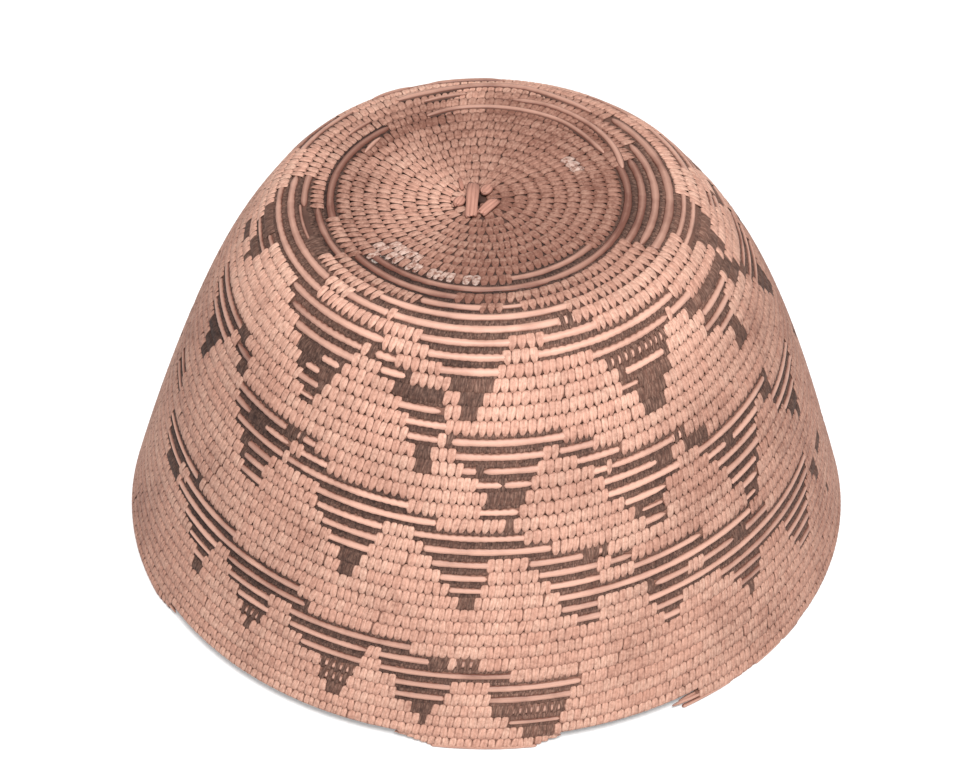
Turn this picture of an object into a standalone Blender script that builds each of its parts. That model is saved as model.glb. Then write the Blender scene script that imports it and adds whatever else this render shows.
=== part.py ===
"""Coiled cooking basket, turned over so that it stands on its rim with its base on top.

A bundle of rods winds from a knot in the middle of the base out to the heel and down the wall to the rim,
and sewing strands bind every course to the one before. Each tube below is a run of that sewn bundle, so the
bowl is one long spiral in several lengths, with its worn rim course broken into pieces.

Units are metres, +Z is up and the rim stands on z = 0. Azimuth 0 faces -Y and grows towards +X.
"""

import math

import bmesh
import bpy
from mathutils import Vector
from mathutils.geometry import interpolate_bezier

# Size of the bowl, over the outside of the sewn courses
RIM_RADIUS = 0.171
HEIGHT = 0.1705
BASE_RADIUS = 0.0925
HEEL_ROUNDING = 0.012
DISH_DEPTH = 0.003
HEEL_DROP = 0.0012

# The ring that the base stands on the right way up, as a share of the base's radius
FOOT_SHARE = 0.7092

# How far the middle of the base sits to one side, and where along the coil's way out it is centred again
DRIFT = 0.004
DRIFT_CROSSING = 0.105

# The base is a little longer from front to back than from side to side, by this share, and the rim is round
BASE_OVAL = 0.042
OVAL_FADE_POWER = 3

# The sewn bundle of rods
COURSE_THICKNESS = 0.0050
COURSE_GAP = 0.0008
SPLICE_GAP = 0.0003
FLAT_CUT = 0.0005
CUTTER_MARGIN = 0.02

# The rods inside the bundle, which show where the rim course is broken
ROD_DIAMETER = 0.0018
ROD_SPREAD = 0.00108
ROD_TIP_LENGTH = 0.007
ROD_TIP_SHARES = (1.0, 0.7, 0.5)

# Splints of the starting knot. KNOT_REACH is the knot's half size, places are shares of it, and a heading is
# the angle in degrees from +X to the splint's length.
KNOT_REACH = 0.012
SPLINT_THICKNESS = 0.0011
SPLINT_CLEARANCE = 0.0003
SPLINT_BEND_STEPS = 8
LONG_SPLINT_LENGTH = 0.0235
LONG_SPLINT_WIDTH = 0.0052
LONG_SPLINT_RISE = 0.0009
LONG_SPLINT_HEADING = 87.5
LONG_PLACE_SHARES = (-0.20, -0.20)
CROSS_SPLINT_LENGTH = 0.0135
CROSS_SPLINT_WIDTH = 0.0040
CROSS_SPLINT_RISE = 0.0005
CROSS_SPLINT_HEADING = 58.0
CROSS_PLACE_SHARES = (0.48, -0.74)
STUB_LENGTH = 0.0066
STUB_WIDTH = 0.0038
RIGHT_STUB_HEADING = 62.0
RIGHT_STUB_PLACE_SHARES = (0.34, 0.42)
LEFT_STUB_HEADING = 68.0
LEFT_STUB_PLACE_SHARES = (-0.66, -0.26)
SLIVER_LENGTH = 0.0085
SLIVER_WIDTH = 0.0015
SLIVER_HEADING = 100.0
SLIVER_PLACE_SHARES = (-0.62, 0.80)

# Handles of the outline's Bezier curves. The wall's two lie at these shares of the way from the heel to the rim,
# first outwards and then downwards, and the dish's two at these shares of the way out to the foot ring.
WALL_HANDLE_SHARES = ((0.27, 0.18), (0.47, 0.21))
DISH_HANDLE_SHARES = (0.5, 0.75)
HEEL_HANDLE_SHARE = 2 / 3
OUTLINE_STEPS = 48

# The spiral climbs evenly at the knot. Towards the rim its courses are level, with one climb in this share of a
# turn at the back.
CLIMB_SHARE = 0.25
FIRST_TURN = 1.05
HEEL_COURSES = 2
WALL_LENGTHS = 3

# Tubes are faceted. Splices lie in the middle of a straight stretch at the back, and a run leaves out a corner
# that is closer to its end than the clear share of a stretch.
POINTS_PER_TURN = 24
SPLICE_SHARE = 0.5 + 0.5 / POINTS_PER_TURN
CLEAR_SHARE = 0.2
TUBE_RESOLUTION = 1
WELD_SHARE = 0.001
SHARP_ANGLE = 70.0

# Azimuths, in degrees, where the worn rim course is broken, and how its tail narrows at the end
WALL_COIL_END = -60.0
FRAGMENT_ENDS = (-10.5, 8.5)
TAIL_ENDS = (29.0, 135.0)
TAPER_START_SHARE = 0.75
TAPER_END_SHARE = 0.55

HALF_COURSE = COURSE_THICKNESS / 2
FOOT_RADIUS = BASE_RADIUS * FOOT_SHARE
BASE_TOP = HEIGHT + FLAT_CUT
ONE_BEND = 4 * COURSE_THICKNESS


def clear_scene():
    for old in list(bpy.data.objects):
        bpy.data.objects.remove(old, do_unlink=True)


def new_collection(name):
    collection = bpy.data.collections.new(name)
    bpy.context.scene.collection.children.link(collection)
    return collection


def make_material(name, colour, roughness):
    material = bpy.data.materials.new(name)
    material.use_nodes = True
    shader = material.node_tree.nodes["Principled BSDF"]
    shader.inputs["Base Color"].default_value = (*colour, 1.0)
    shader.inputs["Roughness"].default_value = roughness
    shader.inputs["Metallic"].default_value = 0.0
    return material


def bezier(start, handle_a, handle_b, end):
    """Points along one Bezier curve in the plane of radius and height."""
    return [point.to_2d() for point in interpolate_bezier(start, handle_a, handle_b, end, OUTLINE_STEPS)]


def outer_outline():
    """The bowl's outer outline as points of radius and height, from the middle of the base to the rim."""
    middle = Vector((0.0, BASE_TOP - DISH_DEPTH))
    foot = Vector((FOOT_RADIUS, BASE_TOP))
    flatter, later = DISH_HANDLE_SHARES
    dish = bezier(middle, Vector((FOOT_RADIUS * flatter, middle.y)), Vector((FOOT_RADIUS * later, foot.y)), foot)

    corner = Vector((BASE_RADIUS, BASE_TOP - HEEL_DROP))
    rim = Vector((RIM_RADIUS, 0.0))
    spread = rim.x - corner.x
    handles = [Vector((corner.x + out * spread, corner.y * (1 - down))) for out, down in WALL_HANDLE_SHARES]
    wall = [point for point in bezier(corner, *handles, rim) if (point - corner).length > HEEL_ROUNDING]

    heel_start = corner + (foot - corner).normalized() * HEEL_ROUNDING
    heel_handles = [end.lerp(corner, HEEL_HANDLE_SHARE) for end in (heel_start, wall[0])]
    heel = bezier(heel_start, *heel_handles, wall[0])
    return dish + heel + wall[1:]


def inset(outline, depth):
    """The outline moved into the bowl's wall by a depth, square to itself."""
    moved = []
    last = len(outline) - 1
    for i, point in enumerate(outline):
        along = outline[min(i + 1, last)] - outline[max(i - 1, 0)]
        inward = Vector((along.y, -along.x)).normalized()
        moved.append(point + inward * depth)
    moved[0].x = 0.0
    return moved


def cut_at_height(outline, height):
    """The outline down to a height, ending exactly there."""
    kept = [outline[0]]
    for point in outline[1:]:
        if point.y < height:
            share = (kept[-1].y - height) / (kept[-1].y - point.y)
            kept.append(kept[-1].lerp(point, share))
            return kept
        kept.append(point)
    return kept


class Spiral:
    """The centre line of the sewn bundle. A turn counts courses from the middle; whole turns face -Y."""

    def __init__(self):
        lowest_centre = HALF_COURSE - FLAT_CUT
        self.line = cut_at_height(inset(outer_outline(), HALF_COURSE), lowest_centre)
        self.distances = [0.0]
        for a, b in zip(self.line, self.line[1:]):
            self.distances.append(self.distances[-1] + (b - a).length)
        self.length = self.distances[-1]
        self.courses = math.floor(self.length / (COURSE_THICKNESS + COURSE_GAP))
        self.pitch = self.length / self.courses
        self.foot_turn = self.turn_past(FOOT_RADIUS)
        self.heel_turn = self.turn_past(BASE_RADIUS)

    def turn_past(self, radius):
        """The first splice past a radius: at the back, in the middle of a straight stretch."""
        course = 1
        while self.meridian(course * self.pitch).x < radius and course < self.courses:
            course += 1
        return course + SPLICE_SHARE

    def level(self, turn):
        """The course that a turn lies on: climbing evenly at the knot, and in steps at the back at the rim."""
        settled = min(max((turn - self.heel_turn) / (self.courses - self.heel_turn), 0.0), 1.0)
        past_back = turn - 0.5
        step = round(past_back)
        climb = min(max((past_back - step) / CLIMB_SHARE + 0.5, 0.0), 1.0)
        stepped = step + climb * climb * (3 - 2 * climb)
        return turn + settled * (stepped - turn)

    def meridian(self, distance):
        """Radius and height of the centre line at a distance from the middle, along the bowl."""
        for i in range(1, len(self.line)):
            if self.distances[i] >= distance:
                span = self.distances[i] - self.distances[i - 1]
                return self.line[i - 1].lerp(self.line[i], (distance - self.distances[i - 1]) / span)
        return self.line[-1].copy()

    def lean(self, turn):
        """How far the bowl's surface leans from level at a turn, as an angle."""
        distance = min(self.level(turn) * self.pitch, self.length)
        before = self.meridian(max(distance - self.pitch / 2, 0.0))
        after = self.meridian(min(distance + self.pitch / 2, self.length))
        return math.atan2(before.y - after.y, after.x - before.x)

    def point(self, turn):
        """A point of the centre line, in the part's own frame."""
        distance = min(self.level(turn) * self.pitch, self.length)
        radius, height = self.meridian(distance)
        angle = 2 * math.pi * turn
        sway = math.cos(math.pi / 2 * distance / DRIFT_CROSSING)
        aside = -DRIFT * (1 - distance / self.length) * sway
        oval = 1 + BASE_OVAL * (1 - (distance / self.length) ** OVAL_FADE_POWER)
        return Vector((radius * math.sin(angle) + aside, -radius * math.cos(angle) * oval, height))

    def chord_point(self, turn):
        """A point of the faceted centre line, whose corners lie on shared azimuths so that the courses nest."""
        corner = math.floor(turn * POINTS_PER_TURN)
        share = turn * POINTS_PER_TURN - corner
        return self.point(corner / POINTS_PER_TURN).lerp(self.point((corner + 1) / POINTS_PER_TURN), share)

    def run(self, first, last):
        """Points from one turn to another, both ends square to a straight stretch, and the lean at each."""
        lowest = math.ceil(first * POINTS_PER_TURN + CLEAR_SHARE)
        highest = math.floor(last * POINTS_PER_TURN - CLEAR_SHARE)
        corners = [count / POINTS_PER_TURN for count in range(lowest, highest + 1)]
        points = [self.chord_point(first), *map(self.point, corners), self.chord_point(last)]
        leans = [self.lean(turn) for turn in (first, *corners, last)]
        return points, leans


def trim_ends(points, amount):
    """Shortens both ends of a run, to leave room where two lengths of coil meet."""
    points[0] = points[0] + (points[1] - points[0]).normalized() * amount
    points[-1] = points[-1] + (points[-2] - points[-1]).normalized() * amount


def link_mesh(name, mesh, collection, material):
    mesh.materials.clear()
    mesh.materials.append(material)
    obj = bpy.data.objects.new(name, mesh)
    collection.objects.link(obj)
    return obj


def close_caps(mesh):
    """Welds a curve's loose end caps to its walls, and turns every face outwards."""
    bm = bmesh.new()
    bm.from_mesh(mesh)
    bmesh.ops.remove_doubles(bm, verts=bm.verts, dist=COURSE_THICKNESS * WELD_SHARE)
    bmesh.ops.recalc_face_normals(bm, faces=bm.faces)
    bm.to_mesh(mesh)
    bm.free()


def mesh_from_curve(name, curve):
    """A curve's mesh, with the curve's own object removed again."""
    guide = bpy.data.objects.new(name + "_guide", curve)
    bpy.context.scene.collection.objects.link(guide)
    evaluated = guide.evaluated_get(bpy.context.evaluated_depsgraph_get())
    mesh = bpy.data.meshes.new_from_object(evaluated)
    mesh.name = name
    bpy.data.objects.remove(guide, do_unlink=True)
    return mesh


def tube_mesh(name, points, diameter, leans=None, widths=None):
    """One closed tube along points. Leans turn its flat sides with the bowl's surface, and widths taper it."""
    curve = bpy.data.curves.new(name, "CURVE")
    curve.dimensions = "3D"
    curve.twist_mode = "Z_UP"
    curve.bevel_depth = diameter / 2
    curve.bevel_resolution = TUBE_RESOLUTION
    curve.use_fill_caps = True
    spline = curve.splines.new("POLY")
    spline.points.add(len(points) - 1)
    for i, point in enumerate(points):
        spline.points[i].co = (*point, 1.0)
        spline.points[i].tilt = leans[i] if leans else 0.0
        spline.points[i].radius = widths[i] if widths else 1.0
    mesh = mesh_from_curve(name, curve)
    close_caps(mesh)
    mesh.shade_smooth()
    mesh.set_sharp_from_angle(angle=math.radians(SHARP_ANGLE))
    return mesh


def slab_cutter(name, collection, bottom, top):
    """A wide slab that cuts a flat into whatever reaches between two heights."""
    width = 2 * (RIM_RADIUS + CUTTER_MARGIN)
    bpy.ops.mesh.primitive_cube_add(size=1.0, location=(0.0, 0.0, (bottom + top) / 2))
    cutter = bpy.context.active_object
    cutter.name = name
    cutter.scale = (width, width, top - bottom)
    bpy.ops.object.transform_apply(location=False, rotation=False, scale=True)
    for owner in list(cutter.users_collection):
        owner.objects.unlink(cutter)
    collection.objects.link(cutter)
    cutter.display_type = "WIRE"
    cutter.hide_render = True
    return cutter


def cut_flat(obj, cutter):
    modifier = obj.modifiers.new("flat_" + cutter.name, "BOOLEAN")
    modifier.operation = "DIFFERENCE"
    modifier.solver = "EXACT"
    modifier.object = cutter


def taper(count):
    """Widths along a run: full, then narrowing towards its end."""
    start = TAPER_START_SHARE * (count - 1)
    narrowing = [max(i - start, 0.0) / (count - 1 - start) for i in range(count)]
    return [1 - (1 - TAPER_END_SHARE) * share for share in narrowing]


def coil_length(name, spiral, first, last, collection, material, cutter=None, tapered=False):
    """One length of the sewn coil, in one unbroken tube."""
    points, leans = spiral.run(first, last)
    trim_ends(points, SPLICE_GAP / 2)
    widths = taper(len(points)) if tapered else None
    obj = link_mesh(name, tube_mesh(name, points, COURSE_THICKNESS, leans, widths), collection, material)
    if cutter:
        cut_flat(obj, cutter)
    return points


def rod_tips(name, end, inner, collection, material):
    """The three rods of the bundle, bare, where they stick out of a broken end."""
    along = (end - inner).normalized()
    side = along.cross(Vector((0.0, 0.0, 1.0))).normalized()
    up = side.cross(along)
    start = end + along * SPLICE_GAP
    for k, length_share in enumerate(ROD_TIP_SHARES):
        turn = math.pi / 2 + 2 * math.pi * k / len(ROD_TIP_SHARES)
        centre = start + (side * math.cos(turn) + up * math.sin(turn)) * ROD_SPREAD
        tip = centre + along * ROD_TIP_LENGTH * length_share
        label = f"{name}_{k + 1}"
        link_mesh(label, tube_mesh(label, [centre, tip], ROD_DIAMETER), collection, material)


def splint(name, size, rise, place_shares, heading, middle, collection, material):
    """A flat splint: its bent side view as a curve, extruded to its width, then given its thickness."""
    length, width = size
    curve = bpy.data.curves.new(name, "CURVE")
    curve.dimensions = "2D"
    curve.fill_mode = "NONE"
    curve.extrude = width / 2
    spline = curve.splines.new("POLY")
    spline.points.add(SPLINT_BEND_STEPS)
    for i, point in enumerate(spline.points):
        share = i / SPLINT_BEND_STEPS
        point.co = ((share - 0.5) * length, rise * 4 * share * (1 - share), 0.0, 1.0)
    obj = link_mesh(name, mesh_from_curve(name, curve), collection, material)
    across, back = place_shares
    seat = BASE_TOP - DISH_DEPTH + SPLINT_CLEARANCE + SPLINT_THICKNESS / 2
    obj.location = (middle.x + across * KNOT_REACH, middle.y + back * KNOT_REACH, seat)
    obj.rotation_euler = (math.pi / 2, 0.0, math.radians(heading))
    shell = obj.modifiers.new("thickness", "SOLIDIFY")
    shell.thickness = SPLINT_THICKNESS
    shell.offset = 0.0


def starting_knot(spiral, collection, material):
    """The splints that start the coil: two lie over the middle, with two stubs and a sliver beside them."""
    carried = (spiral.point(0.0), collection, material)
    long_size = (LONG_SPLINT_LENGTH, LONG_SPLINT_WIDTH)
    cross_size = (CROSS_SPLINT_LENGTH, CROSS_SPLINT_WIDTH)
    stub_size = (STUB_LENGTH, STUB_WIDTH)
    sliver_size = (SLIVER_LENGTH, SLIVER_WIDTH)
    splint("start_splint_long", long_size, LONG_SPLINT_RISE, LONG_PLACE_SHARES, LONG_SPLINT_HEADING, *carried)
    splint("start_splint_cross", cross_size, CROSS_SPLINT_RISE, CROSS_PLACE_SHARES, CROSS_SPLINT_HEADING, *carried)
    splint("start_stub_right", stub_size, 0.0, RIGHT_STUB_PLACE_SHARES, RIGHT_STUB_HEADING, *carried)
    splint("start_stub_left", stub_size, 0.0, LEFT_STUB_PLACE_SHARES, LEFT_STUB_HEADING, *carried)
    splint("start_sliver", sliver_size, 0.0, SLIVER_PLACE_SHARES, SLIVER_HEADING, *carried)


def least_gap(runs):
    """The least clear distance from one course to the next, from points on the tubes' centre lines."""
    points = []
    walked = 0.0
    for run in runs:
        for a, b in zip(run, run[1:]):
            points.append((walked, a))
            points.append((walked + (b - a).length / 2, (a + b) / 2))
            walked += (b - a).length
        points.append((walked, run[-1]))
    nearest = math.inf
    for i, (here, point) in enumerate(points):
        for along, place in points[i + 1:]:
            if along - here > ONE_BEND:
                nearest = min(nearest, (point - place).length)
    return nearest - COURSE_THICKNESS


def build():
    clear_scene()
    basket = new_collection("cooking_basket")
    cutters = new_collection("cutters")
    worn_sewing = make_material("worn_sewing", (0.30, 0.175, 0.125), 0.8)
    light_sewing = make_material("light_sewing", (0.50, 0.29, 0.205), 0.75)
    splint_wood = make_material("splint_wood", (0.52, 0.27, 0.20), 0.6)
    bare_rod = make_material("bare_rod", (0.58, 0.33, 0.24), 0.6)

    ground = slab_cutter("ground_cutter", cutters, -CUTTER_MARGIN, 0.0)
    foot = slab_cutter("foot_cutter", cutters, HEIGHT, HEIGHT + CUTTER_MARGIN)

    spiral = Spiral()
    print("courses", spiral.courses, "pitch", round(spiral.pitch * 1000, 3), "mm")
    foot_turn = spiral.foot_turn
    heel_turn = spiral.heel_turn + HEEL_COURSES
    wall_turns = spiral.courses - heel_turn
    upper_end = heel_turn + round(wall_turns / WALL_LENGTHS)
    middle_end = heel_turn + round(2 * wall_turns / WALL_LENGTHS)
    wall_end = spiral.courses + WALL_COIL_END / 360
    fragment_ends = [spiral.courses + azimuth / 360 for azimuth in FRAGMENT_ENDS]
    tail_ends = [spiral.courses + azimuth / 360 for azimuth in TAIL_ENDS]

    base = coil_length("base_coil", spiral, FIRST_TURN, foot_turn, basket, worn_sewing, foot)
    heel = coil_length("heel_coil", spiral, foot_turn, heel_turn, basket, worn_sewing, foot)
    upper = coil_length("upper_wall_coil", spiral, heel_turn, upper_end, basket, light_sewing)
    middle = coil_length("middle_wall_coil", spiral, upper_end, middle_end, basket, light_sewing)
    lower = coil_length("lower_wall_coil", spiral, middle_end, wall_end, basket, light_sewing, ground)
    fragment = coil_length("rim_fragment", spiral, *fragment_ends, basket, light_sewing, ground)
    tail = coil_length("rim_tail", spiral, *tail_ends, basket, light_sewing, ground, tapered=True)

    rod_tips("wall_end_rod", lower[-1], lower[-2], basket, bare_rod)
    rod_tips("fragment_left_rod", fragment[0], fragment[1], basket, bare_rod)
    rod_tips("fragment_right_rod", fragment[-1], fragment[-2], basket, bare_rod)
    rod_tips("tail_rod", tail[0], tail[1], basket, bare_rod)
    starting_knot(spiral, basket, splint_wood)

    gap = least_gap([base, heel, upper, middle, lower, fragment, tail])
    print("least gap between courses", round(gap * 1000, 3), "mm")


build()
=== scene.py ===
# %% [markdown]
# # A coiled cooking basket, turned over on its rim
# The real basket is one long bundle of three peeled willow rods, wound round and round from a knot in
# the middle of the base and bound course to course with split root. Cutting grooves into a smooth bowl
# would be quicker, but it would never show the stitches' overlaps, the worn crests or the holes between
# them. So here every stitch is a strand of its own that goes over its bundle, between two stitches of
# the course before, as the weaver sewed it.
#
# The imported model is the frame. Its coils are plain tubes, and each is replaced by a bundle and its
# stitches.

# %% Load the frame and keep its box
import math

import bpy
import numpy as np
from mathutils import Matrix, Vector


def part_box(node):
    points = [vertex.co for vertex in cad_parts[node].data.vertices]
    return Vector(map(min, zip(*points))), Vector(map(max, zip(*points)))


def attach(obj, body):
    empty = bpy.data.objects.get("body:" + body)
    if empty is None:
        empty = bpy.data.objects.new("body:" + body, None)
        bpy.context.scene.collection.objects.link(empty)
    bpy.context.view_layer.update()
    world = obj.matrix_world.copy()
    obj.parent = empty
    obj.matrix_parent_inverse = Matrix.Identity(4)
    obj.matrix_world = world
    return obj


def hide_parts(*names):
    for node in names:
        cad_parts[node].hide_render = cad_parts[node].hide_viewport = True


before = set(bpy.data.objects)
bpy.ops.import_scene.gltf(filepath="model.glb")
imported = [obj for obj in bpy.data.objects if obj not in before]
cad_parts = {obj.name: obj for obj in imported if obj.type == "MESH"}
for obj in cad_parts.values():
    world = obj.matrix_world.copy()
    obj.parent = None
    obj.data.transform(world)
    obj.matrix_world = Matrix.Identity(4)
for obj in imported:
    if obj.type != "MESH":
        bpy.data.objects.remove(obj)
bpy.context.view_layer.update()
MM = 0.001


# %% [markdown]
# ## The bowl's outline
# The bowl is round, so one curve of radius and height is its whole shape: a shallow dish inside the ring
# that the base stands on, a rounded heel and a wall that flares in a slow S. Three Bezier curves with
# the same numbers as the CAD source draw it, moved in by half a bundle, so that the curve is the middle
# of the rods. It could be traced off the frame's mesh, but then the courses would follow its facets.

# %% The bowl's measures
RIM_RADIUS = 171 * MM
BASE_RADIUS = 92.5 * MM
FOOT_RADIUS = 65.6 * MM
HEIGHT = 170.5 * MM
DISH_DEPTH = 3 * MM
HEEL_DROP = 1.2 * MM
HEEL_ROUNDING = 12 * MM
BUNDLE = 5 * MM
COURSE_GAP = 0.8 * MM
FLAT_CUT = 0.5 * MM
HALF = BUNDLE / 2
TOP = HEIGHT + FLAT_CUT
# Where the curves' handles lie: the dish's in shares of the foot ring's radius, the wall's in shares of
# the way out and the way down, and the heel's in shares of the way to its corner.
DISH_HANDLES = (0.5, 0.75)
WALL_HANDLES = ((0.27, 0.18), (0.47, 0.21))
HEEL_HANDLES = 2 / 3
CURVE_STEPS = 48


def bezier(start, handle_a, handle_b, end):
    t = np.linspace(0, 1, CURVE_STEPS)[:, None]
    a, b, c, d = (np.array(p, float) for p in (start, handle_a, handle_b, end))
    return (1 - t) ** 3 * a + 3 * (1 - t) ** 2 * t * b + 3 * (1 - t) * t**2 * c + t**3 * d


def outer_outline():
    """Radius and height of the bowl's outer face, from the middle of the dish to the rim."""
    middle = (0, TOP - DISH_DEPTH)
    foot = np.array((FOOT_RADIUS, TOP))
    near, far = (FOOT_RADIUS * share for share in DISH_HANDLES)
    dish = bezier(middle, (near, middle[1]), (far, TOP), foot)
    corner = np.array((BASE_RADIUS, TOP - HEEL_DROP))
    rim = np.array((RIM_RADIUS, 0.0))
    wide, high = rim[0] - corner[0], corner[1]
    handles = [(corner[0] + out * wide, high * (1 - down)) for out, down in WALL_HANDLES]
    wall = bezier(corner, *handles, rim)
    wall = wall[np.linalg.norm(wall - corner, axis=1) > HEEL_ROUNDING]
    heel_start = corner + (foot - corner) / np.linalg.norm(foot - corner) * HEEL_ROUNDING
    handles = [end + (corner - end) * HEEL_HANDLES for end in (heel_start, wall[0])]
    heel = bezier(heel_start, *handles, wall[0])
    return np.vstack([dish, heel, wall[1:]])


print("wall slope, out over down:", round((RIM_RADIUS - BASE_RADIUS) / HEIGHT, 3))


# %% The middle line of the rods, from the knot to the rim
def moved_in(line, distance):
    """The same line, moved towards the inside of the bowl."""
    along = np.vstack([line[1] - line[0], line[2:] - line[:-2], line[-1] - line[-2]])
    inward = np.stack([along[:, 1], -along[:, 0]], 1) / np.linalg.norm(along, axis=1)[:, None]
    return line + inward * distance


def cut_at(line, height):
    """The line down to where it first passes below a height, with its end exactly there."""
    last = int(np.argmax(line[:, 1] < height))
    above, below = line[last - 1], line[last]
    share = (above[1] - height) / (above[1] - below[1])
    return np.vstack([line[:last], above + (below - above) * share])


rod_line = moved_in(outer_outline(), HALF)
rod_line[0, 0] = 0
rod_line = cut_at(rod_line, HALF - FLAT_CUT)
reach = np.concatenate([[0], np.cumsum(np.linalg.norm(np.diff(rod_line, axis=0), axis=1))])
LENGTH = reach[-1]
COURSES = math.floor(LENGTH / (BUNDLE + COURSE_GAP))
PITCH = LENGTH / COURSES
print("courses:", COURSES, "pitch in mm:", round(PITCH / MM, 3))

# %% [markdown]
# ## Places on the bowl
# Everything below is placed by three numbers, as a weaver would point at it: how far down the bowl it
# lies, which way round it lies (azimuth 0 faces the camera side, -Y, and grows towards +X), and how far
# it stands out of the middle of the rods. One function turns these into points. The base's middle sits
# 4 mm off to one side and the base is 4 % longer than wide, both easing off towards the round rim, and
# the same function holds that.

# %% From the bowl to the room
DRIFT = 4 * MM
DRIFT_CROSSING = 105 * MM
BASE_OVAL = 0.042


def meridian(down):
    """Radius and height of the rods' middle at a distance down the bowl from its top."""
    down = np.clip(down, 0, LENGTH)
    return np.interp(down, reach, rod_line[:, 0]), np.interp(down, reach, rod_line[:, 1])


def on_bowl(down, azimuth, out):
    """Points at a distance down the bowl, at an azimuth in radians, raised out of the rods' middle."""
    down = np.asarray(down, float)
    near = np.minimum(down, LENGTH)
    past = down - near
    step = PITCH / 4
    radius, height = meridian(near)
    r0, z0 = meridian(near - step)
    r1, z1 = meridian(near + step)
    tilt = np.arctan2(z1 - z0, r1 - r0)
    radius = radius + np.cos(tilt) * past - np.sin(tilt) * out
    height = height + np.sin(tilt) * past + np.cos(tilt) * out
    aside = -DRIFT * (1 - near / LENGTH) * np.cos(np.pi / 2 * near / DRIFT_CROSSING)
    oval = 1 + BASE_OVAL * (1 - (near / LENGTH) ** 3)
    return np.stack([radius * np.sin(azimuth) + aside, -radius * np.cos(azimuth) * oval, height], -1)


print("knot's place in mm:", [round(float(v) / MM, 1) for v in on_bowl(0.0, 0.0, 0.0)])

# %% [markdown]
# ## The courses
# The coil is an even spiral on the base. Towards the rim its courses are level, with one climb to the
# next course at the back. A real coil is never quite even: measured on the unrolled photograph, the
# courses run up to half a course high on the wall and sag a little at the front. Four short tables hold
# that lie, and the courses then fall where the photograph shows them, with the bowl's shape untouched.

# %% Where each course runs
STEPS_IN_A_CAD_TURN = 24
SPLICE = 0.5 + 0.5 / STEPS_IN_A_CAD_TURN
CLIMB = 0.25
# In shares of a course: all the way round, at the front and back against the sides, at the right
# against the left, and only at the back.
LIE_AT = (0, 1, 5, 8, 11, 15, 20, 25, 30, 33, 36, 40, 44, 47)
LIE_EVEN = (0, 0, -0.20, -0.18, -0.12, -0.17, -0.42, -0.44, -0.44, -0.38, -0.15, -0.10, -0.02, 0)
LIE_FRONT_AND_BACK = (0, 0, 0.09, 0.12, 0.18, 0.13, 0.16, 0.22, 0.28, 0.27, 0.06, 0.04, 0.09, 0)
LIE_SIDE = (0, 0, 0.18, 0.08, -0.04, -0.08, -0.19, -0.25, -0.30, -0.26, -0.34, -0.35, -0.33, 0)
LIE_BEHIND = (0, 0, -0.35, -0.5, -0.66, -0.5, -0.2, 0, 0, 0, 0, 0, 0, 0)
LIES = (LIE_EVEN, LIE_FRONT_AND_BACK, LIE_SIDE, LIE_BEHIND)


def turn_past(radius):
    """The turn at which the frame's coils join, behind the first course that reaches a radius."""
    course = 1
    while meridian(course * PITCH)[0] < radius:
        course += 1
    return course + SPLICE


FOOT_TURN = turn_past(FOOT_RADIUS)
HEEL_TURN = turn_past(BASE_RADIUS)


def course_line(turn):
    """How far down the bowl the bundle lies at a turn. Whole turns face -Y."""
    turn = np.asarray(turn, float)
    settled = np.clip((turn - HEEL_TURN) / (COURSES - HEEL_TURN), 0, 1)
    step = np.round(turn - 0.5)
    climb = np.clip((turn - 0.5 - step) / CLIMB + 0.5, 0, 1)
    level = turn + settled * (step + climb * climb * (3 - 2 * climb) - turn)
    even, front, side, behind = (np.interp(level, LIE_AT, lie) for lie in LIES)
    azimuth = turn * 2 * np.pi
    back = np.clip(-np.cos(azimuth), 0, 1) ** 2
    return PITCH * (level + even + front * np.cos(2 * azimuth) + side * np.sin(azimuth) + behind * back)


def turn_at(course, degrees):
    return course + degrees / 360


print("turns at the foot ring and the heel:", round(FOOT_TURN, 2), round(HEEL_TURN, 2))

# %% [markdown]
# ## The pattern
# Dark root is sewn in for four tiers of stepped triangles that point down on the turned basket. Use has
# worn the crests of many dark stitches through, so the pale rod shows along the middle of the course and
# the dark strands stay in the grooves. The pattern could be a painted mask, but it has to follow whole
# stitches, so it is a list of runs by course, in degrees round from the front. D is dark sewing, B is
# dark sewing with the rod worn bare, and T is the same with only a thin line of rod. U and L are that
# line along the upper or lower edge. S is dark sewing with the rod showing in slits, and R is pale
# sewing with a rod worn bare along the rim. Every stitch that no run names is pale.

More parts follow.
